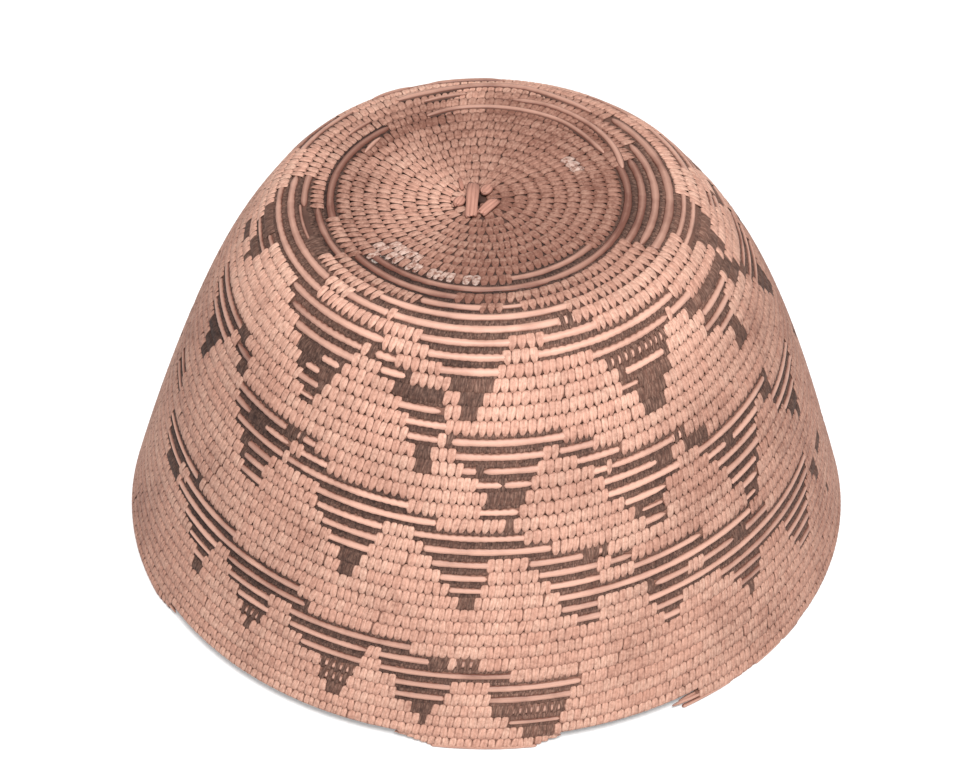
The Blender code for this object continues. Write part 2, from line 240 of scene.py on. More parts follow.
# %% Runs of dark and worn sewing
RUNS = {
    10: "B 12 50",
    11: "B -45 110",
    12: "B -140 -76, B -50 -8, B 60 112",
    13: "B -82 -55, B -19 -1, T 5 11.5, B 62 120",
    14: "B -100 -84, L -84 -68, D -68 -58, B -31 23.7, B 63 135",
    15: "B -100 -50, B -40.5 -27.5, B -24.5 19, S 19 24, T 72 91",
    16: "B -95 -49, B -16 5.5, B 14 28.7, U 70 89",
    17: "D -90 -77, T -77 -73.5, B -57 -25, B -13.5 4, B 12.5 52, D 74 85.5",
    18: "T -88 -74.5, B -54 -31, D -28 -26, B -26 -21, B -11 2.5, B 24.5 48, B 50 58, D 77 83",
    19: "D -83.5 -77, B -49.5 -32, B -24 -19, D -19 -17.5, D -8.5 1, S 27 46, D 54.5 77, D 78.5 83",
    20: "D -93 -86, D -82 -79, D -47 -39, B -39 -35, D -35 -34, D -20.5 -10, D -7 -1.5, "
        "D 29 32, B 32 42, D 42 44, B 59 72, D 73 79",
    21: "D -45 -42.5, B -42.5 -39.5, D -39.5 -35.5, B -19 -10, D -5.5 -2.5, T 29 33, D 33 42, "
        "B 57 69, D 75 82.5",
    22: "B -43.5 -38.5, D -38.5 -37, B -17 -8.5, D 32 40, B 61 67.5, D 80 84, T 84 103",
    23: "B -87 -66, D -66 -62.5, T -42 -39, B -16 -10.5, D -8.3 -7, B -7 15.3, D 33.8 37.7, "
        "D 64 67.5, T 82 101",
    24: "B -85 -68, B -64 -58, D -15 -11, B -6.3 11, B 14 20.3, D 63.5 67.5, T 84 98",
    25: "B -82 -69, D -61 -58, D -15 -11, B -5 -3, D -3 -1.3, B -1.3 9.5, B 17 25, D 85 92",
    26: "D -79 -71, B -58 -43, D -43 -40, S -40 -37, B -37.5 -35.5, B -2.5 1.8, D 2 2.8, B 3 8, "
        "B 19.5 22, B 23 36.8, S 37 40, D 86 92",
    27: "D -77 -73, B -58 -52.5, D -52.5 -47, B -47 -41, B -38 -32, D -0.8 7, B 21.5 32, D 32 36, "
        "D 39.5 45.5, D 88 92",
    28: "D -77.5 -74, B -55 -42, B -40 -37, B -36.5 -14.5, B -2 4.5, B 22 37, B 41.5 66, D 66 67.5",
    29: "D -53 -50.5, B -50 -43.5, B -33 -10, D 2 4, B 25 33.2, B 44 48.5, D 48.7 51.3, B 51.5 60, "
        "D 63 67",
    30: "D -51 -50, B -50 -44.5, B -31.5 -19.5, B -13 5.5, D 26.5 28, T 28 31.5, B 45.5 58, B 66 82",
    31: "B -50 -45, B -30 -20, B -11 10, B 28.2 32, B 47 57.3, B 67 81",
    32: "T -87 -80, B -28.5 -21, B -9.5 0, B 7 15.5, D 15.7 17.5, S 17.7 20.8, D 21 22, B 48 55, "
        "D 55 56.5, B 70 78",
    33: "T -86 -78, D -26.5 -22.5, B -8 -1, B 8.5 18, B 20.7 24.5, B 50 54.5, D 71 77",
    34: "D -25.3 -23.5, B -6.3 -1, B 10 18.8, D 23.3 24, B 24.2 38.2, T 50.3 52.5, D 52.5 53.8, "
        "D 73.5 76",
    35: "T -78 -66, B -66 -61, D -61 -59.5, D -5 -3, B 11 50",
    36: "T -77 -67, B -64 -47, B 12 17.5, D 26 28, B 28 35, B 37.5 45, D 45 48.5, B 48.5 55",
    37: "D -74 -67, B -66 -32.5, B 14 17.7, B 26.8 71",
    38: "B -61 -51, B -48 -31, D -31 -29.5, B 28 32.5, B 41 70",
    39: "T -58 -52, B -46.5 -37, B -33 -12.5, B 29 31.5, B 43.5 50, B 58 68, D 72 75, D 77 82",
    40: "B -56 -52.5, B -43.5 -37, B -32.5 -19, B -17 -9.5, D -9.3 -5.8, S -5.5 -2, B 45 49.3, "
        "B 58.5 67, D 73 75.5",
    41: "D -55 -53.5, S -43 -38, B -30 -20, B -16.5 3.5, D 46 47.8, B 60 66",
    42: "D -41 -39.5, S -27 -20.5, B -14 -6, B 0 13.8, B 61.5 66",
    43: "S -26 -21.5, B -14 -7, B 0 12.7, D 77 78.5",
    44: "D -25 -23, D -11.5 -8, D 1 3.5, S 3.5 11.5",
    45: "D -10.5 -8.8, T 3.5 10.3",
    46: "D 4.8 9.5",
    47: "R -7.8 6.8, R 30.6 39, R 45 50.5, R 51.8 55.5",
}
print("courses with dark or worn sewing:", len(RUNS))

# %% [markdown]
# ## The pattern all the way round
# The photograph shows the front, to about 92 degrees each way. The back could be left plain, but such
# patterns go right round, so from course 16 down the tiers are repeated a third of the way round to
# both sides, where they meet no run that was read.

# %% Runs of every course
# The runs were read on a round bowl, and on the oval base they lie up to a degree further round.
OVAL_SHIFT_AT = (11, 15, 20, 30, 44)
OVAL_SHIFT = (1.2, 0.85, 0.4, 0.2, 0)
SEEN, SEAM = 92, 178
REPEAT = 120
FIRST_REPEATED = 16


def on_the_oval(course, degrees):
    shift = np.interp(course, OVAL_SHIFT_AT, OVAL_SHIFT)
    return degrees + shift * math.sin(math.radians(2 * degrees))


def at_the_back(run):
    _, start, end = run
    return min(abs(start), abs(end)) > SEEN and max(abs(start), abs(end)) < SEAM


def runs_of(course):
    """The runs of one course all the way round, each as its kind, its start and its end."""
    read = [run.split() for run in RUNS.get(course, "").split(",") if run.strip()]
    seen = [(kind, *(on_the_oval(course, float(degrees)) for degrees in ends)) for kind, *ends in read]
    if course < FIRST_REPEATED or course == COURSES:
        return seen
    turned = [(kind, start + way, end + way) for way in (REPEAT, -REPEAT) for kind, start, end in seen]
    return seen + [
        run for run in filter(at_the_back, turned)
        if not any(run[1] < other[2] and other[1] < run[2] for other in seen)
    ]


WHOLE_RUNS = {course: runs_of(course) for course in range(1, COURSES + 1)}
print("runs in the pattern:", sum(len(runs) for runs in WHOLE_RUNS.values()))

# %% [markdown]
# ## Where the stitches sit
# A weaver pushes an awl between two stitches of the course before and draws the strand through, so every
# stitch sits between two older ones, slanted a little, and an extra one goes in wherever the outward
# growth leaves too wide a space. Copying that rule, stitch after stitch from the knot outward, gives the
# interlocked scales of real coiling. Even columns of stitches on each course would be simpler, but their
# rows wouldn't mesh.

# %% Sew the places one after another
SPACE_AT = (1, 8, 14, 17, 30, 38, 47)
SPACE_MM = (3.2, 3.4, 3.5, 3.25, 3.2, 3.05, 3.15)
LEAN = math.radians(9)
FIRST_TURN = 1.05
SMALLEST_ROUND = 5 * MM
# In shares of the space that a stitch should have: an older place is passed over when the next one would
# be too near, or is a little near while there are more stitches than there should be. An extra one goes
# in when the gap is too wide, or a little wide while there are fewer.
TOO_NEAR, A_LITTLE_NEAR = 0.35, 0.92
TOO_WIDE, A_LITTLE_WIDE = 1.5, 1.04
ALLOWED_MISCOUNT = 0.5
# Then how far a stitch moves from the middle of its gap towards an even place, how far the last three
# make way for an extra one, and how far that one goes into the gap.
EVENING = 0.35
MAKING_WAY = (0.26, 0.16, 0.07)
EXTRA_PLACE = 0.55


def round_length(turn):
    return 2 * np.pi * max(float(meridian(course_line(turn))[0]), SMALLEST_ROUND)


def stitch_space(turn):
    return np.interp(turn, SPACE_AT, SPACE_MM) * MM


def sew_places(last_turn):
    first_ring = round(round_length(FIRST_TURN + 0.5) / stitch_space(1))
    places = list(FIRST_TURN + np.arange(first_ring + 1) / first_ring)
    older, owed = 0, 0.0
    while True:
        length, space = round_length(places[-1]), stitch_space(places[-1])
        even = places[-1] + space / length
        between = (places[older] + places[older + 1]) / 2 + 1 - math.tan(LEAN) * PITCH / length
        gap = (between - places[-1]) * length / space
        if gap < TOO_NEAR or (owed < -ALLOWED_MISCOUNT and gap < A_LITTLE_NEAR):
            older += 1
            continue
        place = between + EVENING * (even - between)
        if gap > TOO_WIDE or (owed > ALLOWED_MISCOUNT and gap > A_LITTLE_WIDE):
            for back, eased in enumerate(MAKING_WAY, start=1):
                places[-back] -= eased * space / length
            place = places[-1] + EXTRA_PLACE * (between - places[-1])
        else:
            older += 1
        if place > last_turn:
            return np.array(places)
        owed += (place - places[-1]) * length / space - 1
        places.append(place)


places = sew_places(COURSES + 0.5)
print("stitches:", len(places))

# %% [markdown]
# ## Which stitches are there
# The last course is worn through: it is missing between two places on the left front and again right of
# the middle, and it ends on the back right. Each stitch takes its run from the pattern, and a stitch
# with no course below it wraps round the lower edge instead of going on into the next course.

# %% Sort the stitches by course, colour and wear
WALL_END = -58.5
FRAGMENT = (-13.5, 10.5)
TAIL = (33.0, 135.0)
# How full the bundle of the last course is, by degrees: it thins towards each broken end.
RIM_AT = (-180, WALL_END - 4, WALL_END, FRAGMENT[0], FRAGMENT[0] + 6, FRAGMENT[1] - 4, FRAGMENT[1],
          TAIL[0], TAIL[0] + 3, TAIL[1] - 4, TAIL[1], 180)
RIM_SIZE = (1, 1, 0.6, 0.15, 1, 1, 0.2, 0.8, 1, 1, 0.6, 1)


def rim_is_there(degrees):
    return degrees < WALL_END or FRAGMENT[0] < degrees < FRAGMENT[1] or TAIL[0] < degrees < TAIL[1]


def rim_size(turns):
    """How full the bundle is: all but the last course is whole."""
    return np.interp((turns - COURSES) * 360, RIM_AT, RIM_SIZE)


def run_at(course, degrees):
    """The kind of run that a stitch lies in. A rod worn bare at the rim has pale stitches."""
    for kind, start, end in WHOLE_RUNS[course]:
        if start <= degrees <= end:
            return kind.replace("R", "P")
    return "P"


def is_on_the_edge(course, degrees):
    return course == COURSES or (course == COURSES - 1 and not rim_is_there(degrees))


course_of = np.round(places).astype(int)
degrees_of = (places - course_of) * 360
kept = np.array([c < COURSES or rim_is_there(a) for c, a in zip(course_of, degrees_of)])
places, course_of, degrees_of = places[kept], course_of[kept], degrees_of[kept]
kind_of = np.array([run_at(c, a) for c, a in zip(course_of, degrees_of)])
edge_of = np.array([is_on_the_edge(c, a) for c, a in zip(course_of, degrees_of)])
is_dark = kind_of != "P"
print({kind: int((kind_of == kind).sum()) for kind in "PDBTULS"}, "on the lower edge:", edge_of.sum())

# %% [markdown]
# ## One stitch
# Real: a flat half-round strand of root. It comes up between two tips of the course before, lies over
# them, crosses its bundle, narrows between the next two stitches, goes through to the inside and comes
# back up there. It could be a curve with a bevel, but nearly ten thousand curves are slow and all alike.
# So the path, width and height of one strand are a short table, and all the strands are worked out from
# it at once as arrays, each with its own chance differences. Where a crest is worn through, the strand
# dips under the rod that shows there.

# %% The path of a strand over, through and back inside its course
# Each step: how far down in shares of a course, how far out of the middle of the rods in mm, and the
# width in shares of the space between stitches. First the outer face, then the turn and the inner face.
INNER_FACE = ((0.60, -0.60, 0.22), (0.40, -1.75, 0.60), (0.14, -2.45, 0.92), (-0.22, -2.42, 0.95),
              (-0.55, -1.80, 0.72))
DARK_PATH = np.array((
    (-0.62, 1.20, 0.94), (-0.52, 1.60, 1.05), (-0.42, 1.84, 1.08), (-0.34, 1.98, 1.10),
    (-0.26, 2.10, 1.10), (-0.12, 2.24, 1.10), (0.12, 2.26, 1.10), (0.26, 2.16, 1.10),
    (0.38, 1.96, 1.06), (0.51, 1.66, 1.00), (0.62, 1.10, 0.85), *INNER_FACE,
))
EDGE_PATH = np.array((
    (-0.55, 1.20, 0.26), (-0.51, 1.66, 0.52), (-0.46, 1.98, 0.72), (-0.38, 2.20, 0.86),
    (-0.24, 2.39, 0.96), (-0.06, 2.49, 0.99), (0.10, 2.44, 0.99), (0.22, 2.22, 0.99),
    (0.32, 1.80, 0.99), (0.40, 1.20, 0.99), (0.45, 0.45, 0.99), (0.45, -0.70, 0.99),
    (0.35, -1.80, 0.99), (0.14, -2.45, 0.95), (-0.22, -2.42, 0.95), (-0.55, -1.80, 0.72),
))
# A pale strand has the same way over everywhere, and its widths go by the course: nearly six-sided on
# the base, pointed downwards like teeth on the heel, straight-sided with a pointed lower end on the
# wall, and blunt at both ends towards the rim and where it is polished.
PALE_OVER = ((-0.55, 1.30), (-0.51, 1.76), (-0.46, 2.04), (-0.38, 2.24), (-0.24, 2.40), (-0.06, 2.49),
             (0.12, 2.48), (0.26, 2.41), (0.38, 2.26), (0.51, 1.98), (0.62, 1.40))
PALE_PATH = np.array([(down, out, 1.0) for down, out in PALE_OVER] + list(INNER_FACE))
BASE_WIDTHS = (0.45, 0.62, 0.78, 0.90, 0.98, 1.02, 1.00, 0.92, 0.80, 0.62, 0.35)
TEETH_WIDTHS = (0.60, 0.75, 0.88, 0.96, 1.00, 1.00, 0.93, 0.78, 0.60, 0.42, 0.18)
WALL_WIDTHS = (0.34, 0.64, 0.84, 0.94, 1.00, 1.02, 0.98, 0.88, 0.71, 0.48, 0.18)
BLUNT_WIDTHS = (0.40, 0.66, 0.82, 0.91, 0.97, 1.00, 1.03, 1.01, 0.94, 0.74, 0.38)
WIDTH_AT = (10, 13, 16, 19, 30, 40)
WIDTHS = np.array([BASE_WIDTHS, TEETH_WIDTHS, TEETH_WIDTHS, WALL_WIDTHS, WALL_WIDTHS, BLUNT_WIDTHS])
print("steps in one strand:", len(PALE_PATH), len(DARK_PATH), len(EDGE_PATH))

# %% [markdown]
# ## All the stitches at once
# Numpy arrays of stitches, steps along the strand and points across it keep the whole basket to a few
# seconds. A loop over the stitches that made one mesh each would be simpler, but far slower.

# %% From paths to points
# Five points across a strand in shares of its half width, and how far each lies below its ridge.
ACROSS = np.array([-1.0, -0.64, 0.0, 0.64, 1.0])
ROUNDING = np.array([0.42, 0.08, 0.0, 0.04, 0.29]) * MM
SMALLEST_RADIUS = 4 * MM
# The course below is taken as at least this share of the pitch away, and none is looked for after the
# last turn.
LEAST_COURSE = 0.9
LAST_TURN = COURSES + 0.49
# A bundle that is worn thin lies up against the course above it, by this share of a course.
THIN_LIES_HIGHER = 0.35
# Half the width of the rod that shows on a worn course, in mm. Old stitches have scalloped its edge.
ROD_HALF_AT = (10, 18, 24, 40, 47)
ROD_HALF_MM = (1.74, 1.76, 1.64, 1.52, 1.48)
SCALLOP = 0.3


def pale_paths(courses, polish):
    """The path of every pale strand, with its widths by its course and its polish."""
    by_course = np.stack([np.interp(courses, WIDTH_AT, column) for column in WIDTHS.T], 1)
    paths = np.repeat(PALE_PATH[None], len(courses), 0)
    paths[:, :len(PALE_OVER), 2] = by_course + polish[:, None] * (np.array(BLUNT_WIDTHS) - by_course)
    return paths


def strand_points(own_path, turns, edge, dips, bare_halves, widths, lengths, leans, rounding):
    """All the points as stitches x steps x points across, with their places along and across."""
    azimuth = turns * 2 * np.pi
    here = course_line(turns)
    up = here - course_line(turns - 1)
    down = np.maximum(course_line(np.minimum(turns + 1, LAST_TURN)) - here, LEAST_COURSE * PITCH)
    down = np.where(edge, PITCH, down)
    size = rim_size(turns)[:, None]
    path = np.where(edge[:, None, None], EDGE_PATH, own_path)
    share_down, out, half_width = path[..., 0], path[..., 1] * MM * size, path[..., 2] / 2
    along = share_down * np.where(share_down < 0, up[:, None], down[:, None] * size) * lengths[:, None]
    along = along - THIN_LIES_HIGHER * PITCH * (1 - size)
    across = (half_width * widths[:, None])[..., None] * ACROSS
    aside = across - (np.tan(leans)[:, None] * along)[..., None]
    bare = bare_halves[:, None, None] * (1 + SCALLOP * ACROSS**2 * (share_down < 0)[..., None])
    outside = path[..., 1:2] > 0
    worn = dips[:, None, None] * np.exp(-((share_down[..., None] / bare) ** 4)) * outside
    rounded = rounding * np.minimum(path[..., 2], 1)[..., None]
    away = out[..., None] - worn - np.sign(out)[..., None] * rounded
    where_down = (here[:, None] + along)[..., None] + 0 * across
    radius = np.maximum(meridian(where_down)[0], SMALLEST_RADIUS)
    points = on_bowl(where_down, azimuth[:, None, None] + aside / radius, away)
    return points, along[..., None] + 0 * across, across


def strips(count, steps, wide, closed=False):
    """Faces for a number of strips, each steps long and wide points across."""
    i, j = np.meshgrid(np.arange(steps - 1), np.arange(wide if closed else wide - 1), indexing="ij")
    k = (j + 1) % wide
    corners = [i * wide + j, i * wide + k, (i + 1) * wide + k, (i + 1) * wide + j]
    one = np.stack(corners, -1).reshape(-1, 4)
    return (one + (np.arange(count) * steps * wide)[:, None, None]).reshape(-1, 4)


print("points in one strand:", len(PALE_PATH) * ACROSS.size)

# %% [markdown]
# ## From arrays to pieces
# One helper makes a mesh object from points and faces, and keeps what the finishes need to know at each
# point: the tone of the strand with its painted highlights, how much grime and painted shade the place
# has, and its place along the grain in millimetres.
# Grain drawn from the strand's own length runs the right way on every stitch, which no map of the whole
# bowl would give. What would reach below the floor is pressed flat, as the real worn rim is.

# %% A piece from points, faces and what its finish needs
def make_piece(name, points, faces, finish, slot, node, **told):
    mesh = bpy.data.meshes.new(name)
    points, faces = np.array(points, float).reshape(-1, 3), np.asarray(faces, int)
    points[:, 2] = np.maximum(points[:, 2], 0)
    mesh.vertices.add(len(points))
    mesh.vertices.foreach_set("co", points.ravel())
    mesh.loops.add(faces.size)
    mesh.loops.foreach_set("vertex_index", faces.ravel())
    mesh.polygons.add(len(faces))
    mesh.polygons.foreach_set("loop_start", np.arange(len(faces)) * faces.shape[1])
    mesh.polygons.foreach_set("use_smooth", np.ones(len(faces), bool))
    for key, values in told.items():
        values = np.asarray(values, float)
        is_place = values.ndim > 1 and values.shape[-1] == 3
        kind, field = ("FLOAT_VECTOR", "vector") if is_place else ("FLOAT", "value")
        mesh.attributes.new(key, kind, "POINT").data.foreach_set(field, values.ravel())
    mesh.update(calc_edges=True)
    mesh.validate()
    mesh.materials.append(finish)
    piece = bpy.data.objects.new(name, mesh)
    bpy.context.scene.collection.objects.link(piece)
    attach(piece, "root")
    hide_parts(*([node] if isinstance(node, str) else node))
    return piece


# %% [markdown]
# ## Colours and nodes
# Colours are written as hex values, and one function turns them to the linear values that the shader
# works in. One more function adds a node with its settings and links, so that each finish below reads as
# a list of what lies on what.

# %% Helpers for the finishes
def linear(hex_value):
    parts = [int(hex_value[i:i + 2], 16) / 255 for i in (1, 3, 5)]
    return (*[v / 12.92 if v <= 0.04045 else ((v + 0.055) / 1.055) ** 2.4 for v in parts], 1.0)


def add(owner, kind, links=None, **settings):
    """Adds a node, sets its properties and its sockets, and links others' outputs to its inputs."""
    tree = owner.node_tree
    node = tree.nodes.new("ShaderNode" + kind)
    for key, value in settings.items():
        if hasattr(node, key):
            setattr(node, key, value)
        elif key[0] == "i" and key[1:].isdigit():
            node.inputs[int(key[1:])].default_value = value
        else:
            node.inputs[key.replace("_", " ")].default_value = value
    for key, source in (links or {}).items():
        tree.links.new(source, node.inputs[key])
    return node


def new_finish(name):
    material = bpy.data.materials.new(name)
    material.use_nodes = True
    return material, material.node_tree.nodes["Principled BSDF"]


print("a mid pale strand is, in linear light:", [round(v, 3) for v in linear("#dba691")[:3]])

# %% [markdown]
# ## Pale strands
# Real: split sedge root, scraped flat on the inner side and left half round outside, about 3 mm wide.
# Scraping and handling leave it smooth but matt and pinkish tan, with fine lengthwise fibres and small
# stains, and each strand differs a little from the next. A painted highlight runs along each side of its
# crest, with painted shade at its edges and down its middle, and more painted shade on its tucked ends.
# Smoke and handling darken whole areas. The fibres are about 0.2 mm apart, but they are drawn at 0.4 mm,
# because a pixel of the picture is 0.4 mm and finer ones would blur to nothing. A crust of lime lies on a
# few stitches.

# %% Split root, scraped and handled
LIME = "#f3e2d6"
# Stains are about 2 mm across and clouds of smoke about 40 mm. Fibres are six times as long as wide.
STAINS_IN_A_METRE = 520.0
CLOUDS_IN_A_METRE = 26.0
FIBRE_SHORTENING = 0.16


def root_finish(name, pale, middle, deep, line, grime_and_shade_colour, fibre, lines_seen, lowest, roughness):
    """Half-round split root: three tones of strand with painted highlights, lengthwise fibres, small
    stains, and grime and painted shade.
    """
    finish, shader = new_finish(name)
    tone = add(finish, "Attribute", attribute_name="tone")
    soil = add(finish, "Attribute", attribute_name="soil")
    grain = add(finish, "Attribute", attribute_name="grain")
    lime = add(finish, "Attribute", attribute_name="lime")
    place = add(finish, "TexCoord").outputs["Object"]
    body = add(finish, "ValToRGB", {"Fac": tone.outputs["Fac"]})
    tones = body.color_ramp.elements
    tones[0].color, tones[1].color = linear(deep), linear(pale)
    tones.new(0.5).color = linear(middle)
    stretch = add(finish, "Mapping", {"Vector": grain.outputs["Vector"]},
                  Scale=(1 / fibre, FIBRE_SHORTENING / fibre, 1))
    fibres = add(finish, "TexNoise", {"Vector": stretch.outputs["Vector"]},
                 Scale=1.0, Detail=2.0, Roughness=0.6)
    spread = add(finish, "MapRange", {"Value": fibres.outputs["Fac"]},
                 From_Min=lowest, From_Max=lowest + 0.28)
    lines = add(finish, "Math", {0: spread.outputs["Result"]}, operation="MULTIPLY", i1=lines_seen)
    fibred = add(finish, "Mix", {0: lines.outputs[0], 6: body.outputs["Color"]},
                 data_type="RGBA", i7=linear(line))
    stains = add(finish, "TexNoise", {"Vector": place},
                 Scale=STAINS_IN_A_METRE, Detail=3.0, Roughness=0.7)
    stained = add(finish, "MapRange", {"Value": stains.outputs["Fac"]},
                  From_Min=0.44, From_Max=0.72, To_Max=0.42)
    smoke = add(finish, "TexNoise", {"Vector": place},
                Scale=CLOUDS_IN_A_METRE, Detail=5.0, Roughness=0.65)
    smoked = add(finish, "MapRange", {"Value": smoke.outputs["Fac"]},
                 From_Min=0.46, From_Max=0.74, To_Max=0.30)
    # The point attribute read above holds real grime and painted shade together, and mixes the colour
    # towards one dark tone.
    both = add(finish, "Math", {0: soil.outputs["Fac"], 1: smoked.outputs["Result"]},
               operation="ADD", use_clamp=True)
    grime_shade_amount = add(finish, "Math", {0: both.outputs[0], 1: stained.outputs["Result"]},
               operation="ADD", use_clamp=True)
    with_grime_and_shade = add(finish, "Mix", {0: grime_shade_amount.outputs[0], 6: fibred.outputs[2]},
                data_type="RGBA", i7=linear(grime_and_shade_colour))
    crust = add(finish, "MapRange", {"Value": stains.outputs["Fac"]}, From_Min=0.62, From_Max=0.38)
    limed = add(finish, "Math", {0: lime.outputs["Fac"], 1: crust.outputs["Result"]},
                operation="MULTIPLY")
    surface = add(finish, "Mix", {0: limed.outputs[0], 6: with_grime_and_shade.outputs[2]},
                  data_type="RGBA", i7=linear(LIME))
    relief = add(finish, "Bump", {"Height": fibres.outputs["Fac"]}, Strength=0.35, Distance=0.15 * MM)
    finish.node_tree.links.new(surface.outputs[2], shader.inputs["Base Color"])
    finish.node_tree.links.new(relief.outputs["Normal"], shader.inputs["Normal"])
    shader.inputs["Roughness"].default_value = roughness
    shader.inputs["IOR"].default_value = 1.45
    shader.inputs["Specular IOR Level"].default_value = 0.3
    return finish


pale_root = root_finish(
    "pale_split_root", pale="#fad0b9", middle="#ecb8a2", deep="#d09a85", line="#b27f6c",
    grime_and_shade_colour="#7f5547", fibre=0.42, lines_seen=0.46, lowest=0.37, roughness=0.62)
print("finish made:", pale_root.name)

# %% [markdown]
# ## Dark strands
# Real: split root dyed black-brown, for the pattern. It is sewn like the pale root, but the bark side is
# coarser, so fine lighter and darker lines run along every strand, and it has dulled to a warm grey
# brown with wear. Its lines are drawn 0.6 mm apart, which is how the photograph shows them.

# %% Dyed root for the pattern
dark_root = root_finish(
    "dyed_split_root", pale="#80594b", middle="#674a3f", deep="#4a342c", line="#b68e7c",
    grime_and_shade_colour="#33221d", fibre=0.62, lines_seen=0.80, lowest=0.45, roughness=0.75)
print("finish made:", dark_root.name)

# %% [markdown]
# ## Rods
# Real: peeled willow shoots, 2 to 3 mm thick. Peeling leaves a smooth skin with a faint sheen, and where
# the sewing has worn off, hands and hearth have polished the crest to a warm pinkish tan, with painted
# shade down the sides. Deep in the bundle, where no light reaches, the same rods are painted nearly black,
# as that shade and as soot and food.

# %% Peeled willow, polished by wear, and the sooty bundle inside
# Clouds of smoke on the rods are about 25 mm across. The grain is drawn 0.6 mm wide and 8 mm long.
ROD_CLOUDS_IN_A_METRE = 40.0
ROD_GRAIN_IN_A_MM = (1.6, 0.12, 1)


def willow_finish(name, pale, middle, grime_and_shade_colour, smoke_seen, roughness):
    """A peeled shoot: two tones of grain, clouds of smoke, and grime and painted shade."""
    finish, shader = new_finish(name)
    soil = add(finish, "Attribute", attribute_name="soil")
    grain = add(finish, "Attribute", attribute_name="grain")
    place = add(finish, "TexCoord")
    stretch = add(finish, "Mapping", {"Vector": grain.outputs["Vector"]}, Scale=ROD_GRAIN_IN_A_MM)
    fibres = add(finish, "TexNoise", {"Vector": stretch.outputs["Vector"]},
                 Scale=1.0, Detail=3.0, Roughness=0.55)
    body = add(finish, "Mix", {0: fibres.outputs["Fac"]},
               data_type="RGBA", i6=linear(pale), i7=linear(middle))
    smoke = add(finish, "TexNoise", {"Vector": place.outputs["Object"]},
                Scale=ROD_CLOUDS_IN_A_METRE, Detail=4.0, Roughness=0.6)
    smoked = add(finish, "MapRange", {"Value": smoke.outputs["Fac"]},
                 From_Min=0.48, From_Max=0.78, To_Max=smoke_seen)
    # The point attribute read above holds real grime and painted shade together, and mixes the colour
    # towards one dark tone.
    both = add(finish, "Math", {0: soil.outputs["Fac"], 1: smoked.outputs["Result"]},
               operation="ADD", use_clamp=True)
    with_grime_and_shade = add(finish, "Mix", {0: both.outputs[0], 6: body.outputs[2]},
                data_type="RGBA", i7=linear(grime_and_shade_colour))
    relief = add(finish, "Bump", {"Height": fibres.outputs["Fac"]}, Strength=0.2, Distance=0.1 * MM)
    finish.node_tree.links.new(with_grime_and_shade.outputs[2], shader.inputs["Base Color"])
    finish.node_tree.links.new(relief.outputs["Normal"], shader.inputs["Normal"])
    shader.inputs["Roughness"].default_value = roughness
    shader.inputs["IOR"].default_value = 1.45
    return finish


peeled_willow = willow_finish("peeled_willow", "#f6c6b0", "#dba691", "#75493c", 0.4, 0.5)
split_willow = willow_finish("split_willow", "#dba48f", "#b57e6c", "#70453a", 0.3, 0.55)
sooty_and_shaded_bundle = willow_finish("sooty_and_shaded_bundle", "#a07261", "#7d5747", "#2e1b16", 0.3, 0.8)
print("finishes made:", peeled_willow.name, split_willow.name, sooty_and_shaded_bundle.name)

# %% [markdown]
# ## The bundle
# Real: three rods, one outside on the other two, which fill every course. Only slits of them show
# between the stitches, so one smooth dark tube stands for them, thinner than the sewn course and just
# wide enough to meet its neighbours, and cut into the same lengths as the frame's coils. Its dark colour
# is painted shade of those slits, together with soot, and is darkest on the base. Three separate rods
# would triple the faces for something that only the broken ends show, and those ends get their own rods
# below. The tube is kept half a millimetre above the floor, so that under the rim only the stitches are
# pressed flat on it.

# %% A tube along the spiral
END_SIZE = 0.03


def closed_ends(rings):
    """The rings with one more at each end, drawn in almost to a point."""
    first, last = (ring.mean(0) + END_SIZE * (ring - ring.mean(0)) for ring in (rings[0], rings[-1]))
    return np.concatenate([first[None], rings, last[None]])


def with_ends(rows):
    """Repeats the first and the last row, for the two rings that close a tube."""
    return np.concatenate([rows[:1], rows, rows[-1:]])


def tube_points(turns, down_half, out_half, centre_out, sides, shift=0.0):
    """Rings round a line that follows the course at the given turns, closed at both ends."""
    around = np.arange(sides) / sides * 2 * np.pi
    down = course_line(turns)[:, None] + shift + np.reshape(down_half, (len(turns), -1)) * np.sin(around)
    out = np.reshape(centre_out, (-1, 1)) + np.reshape(out_half, (-1, 1)) * np.cos(around)
    return closed_ends(on_bowl(down, (turns * 2 * np.pi)[:, None] + 0 * down, out))


def tube_grain(across, along):
    """The place on a tube in mm, across and along it, by which the finish draws its grain."""
    return np.stack(np.broadcast_arrays(across, np.reshape(along, (-1, 1)), 0.0), -1)


# %% The bundle in the frame's lengths
START_TURN = 0.2
COIL_TURNS = {
    "base_coil": (START_TURN, FOOT_TURN),
    "heel_coil": (FOOT_TURN, HEEL_TURN + 2),
    "upper_wall_coil": (HEEL_TURN + 2, HEEL_TURN + 11),
    "middle_wall_coil": (HEEL_TURN + 11, HEEL_TURN + 20),
    "lower_wall_coil": (HEEL_TURN + 20, turn_at(COURSES, WALL_END)),
    "rim_fragment": tuple(turn_at(COURSES, a) for a in FRAGMENT),
    "rim_tail": tuple(turn_at(COURSES, a) for a in TAIL),
}
STEPS_PER_TURN = 96
FEWEST_STEPS = 4
BUNDLE_SIDES = 10
BUNDLE_HALF_DOWN, BUNDLE_HALF_OUT = 3.05 * MM, 1.75 * MM
RODS_ABOVE_FLOOR = 0.5 * MM
# How dark the bundle is by course: painted shade of the slits it shows in, and soot, most on the base.
DEPTH_AT = (0, 11, 16, 24, 47)
SLIT_SHADE_AND_GRIME = (0.75, 0.8, 0.45, 0.14, 0.05)
GRAIN_PER_SIDE = 1.3
MEAN_RADIUS_IN_MM = 100
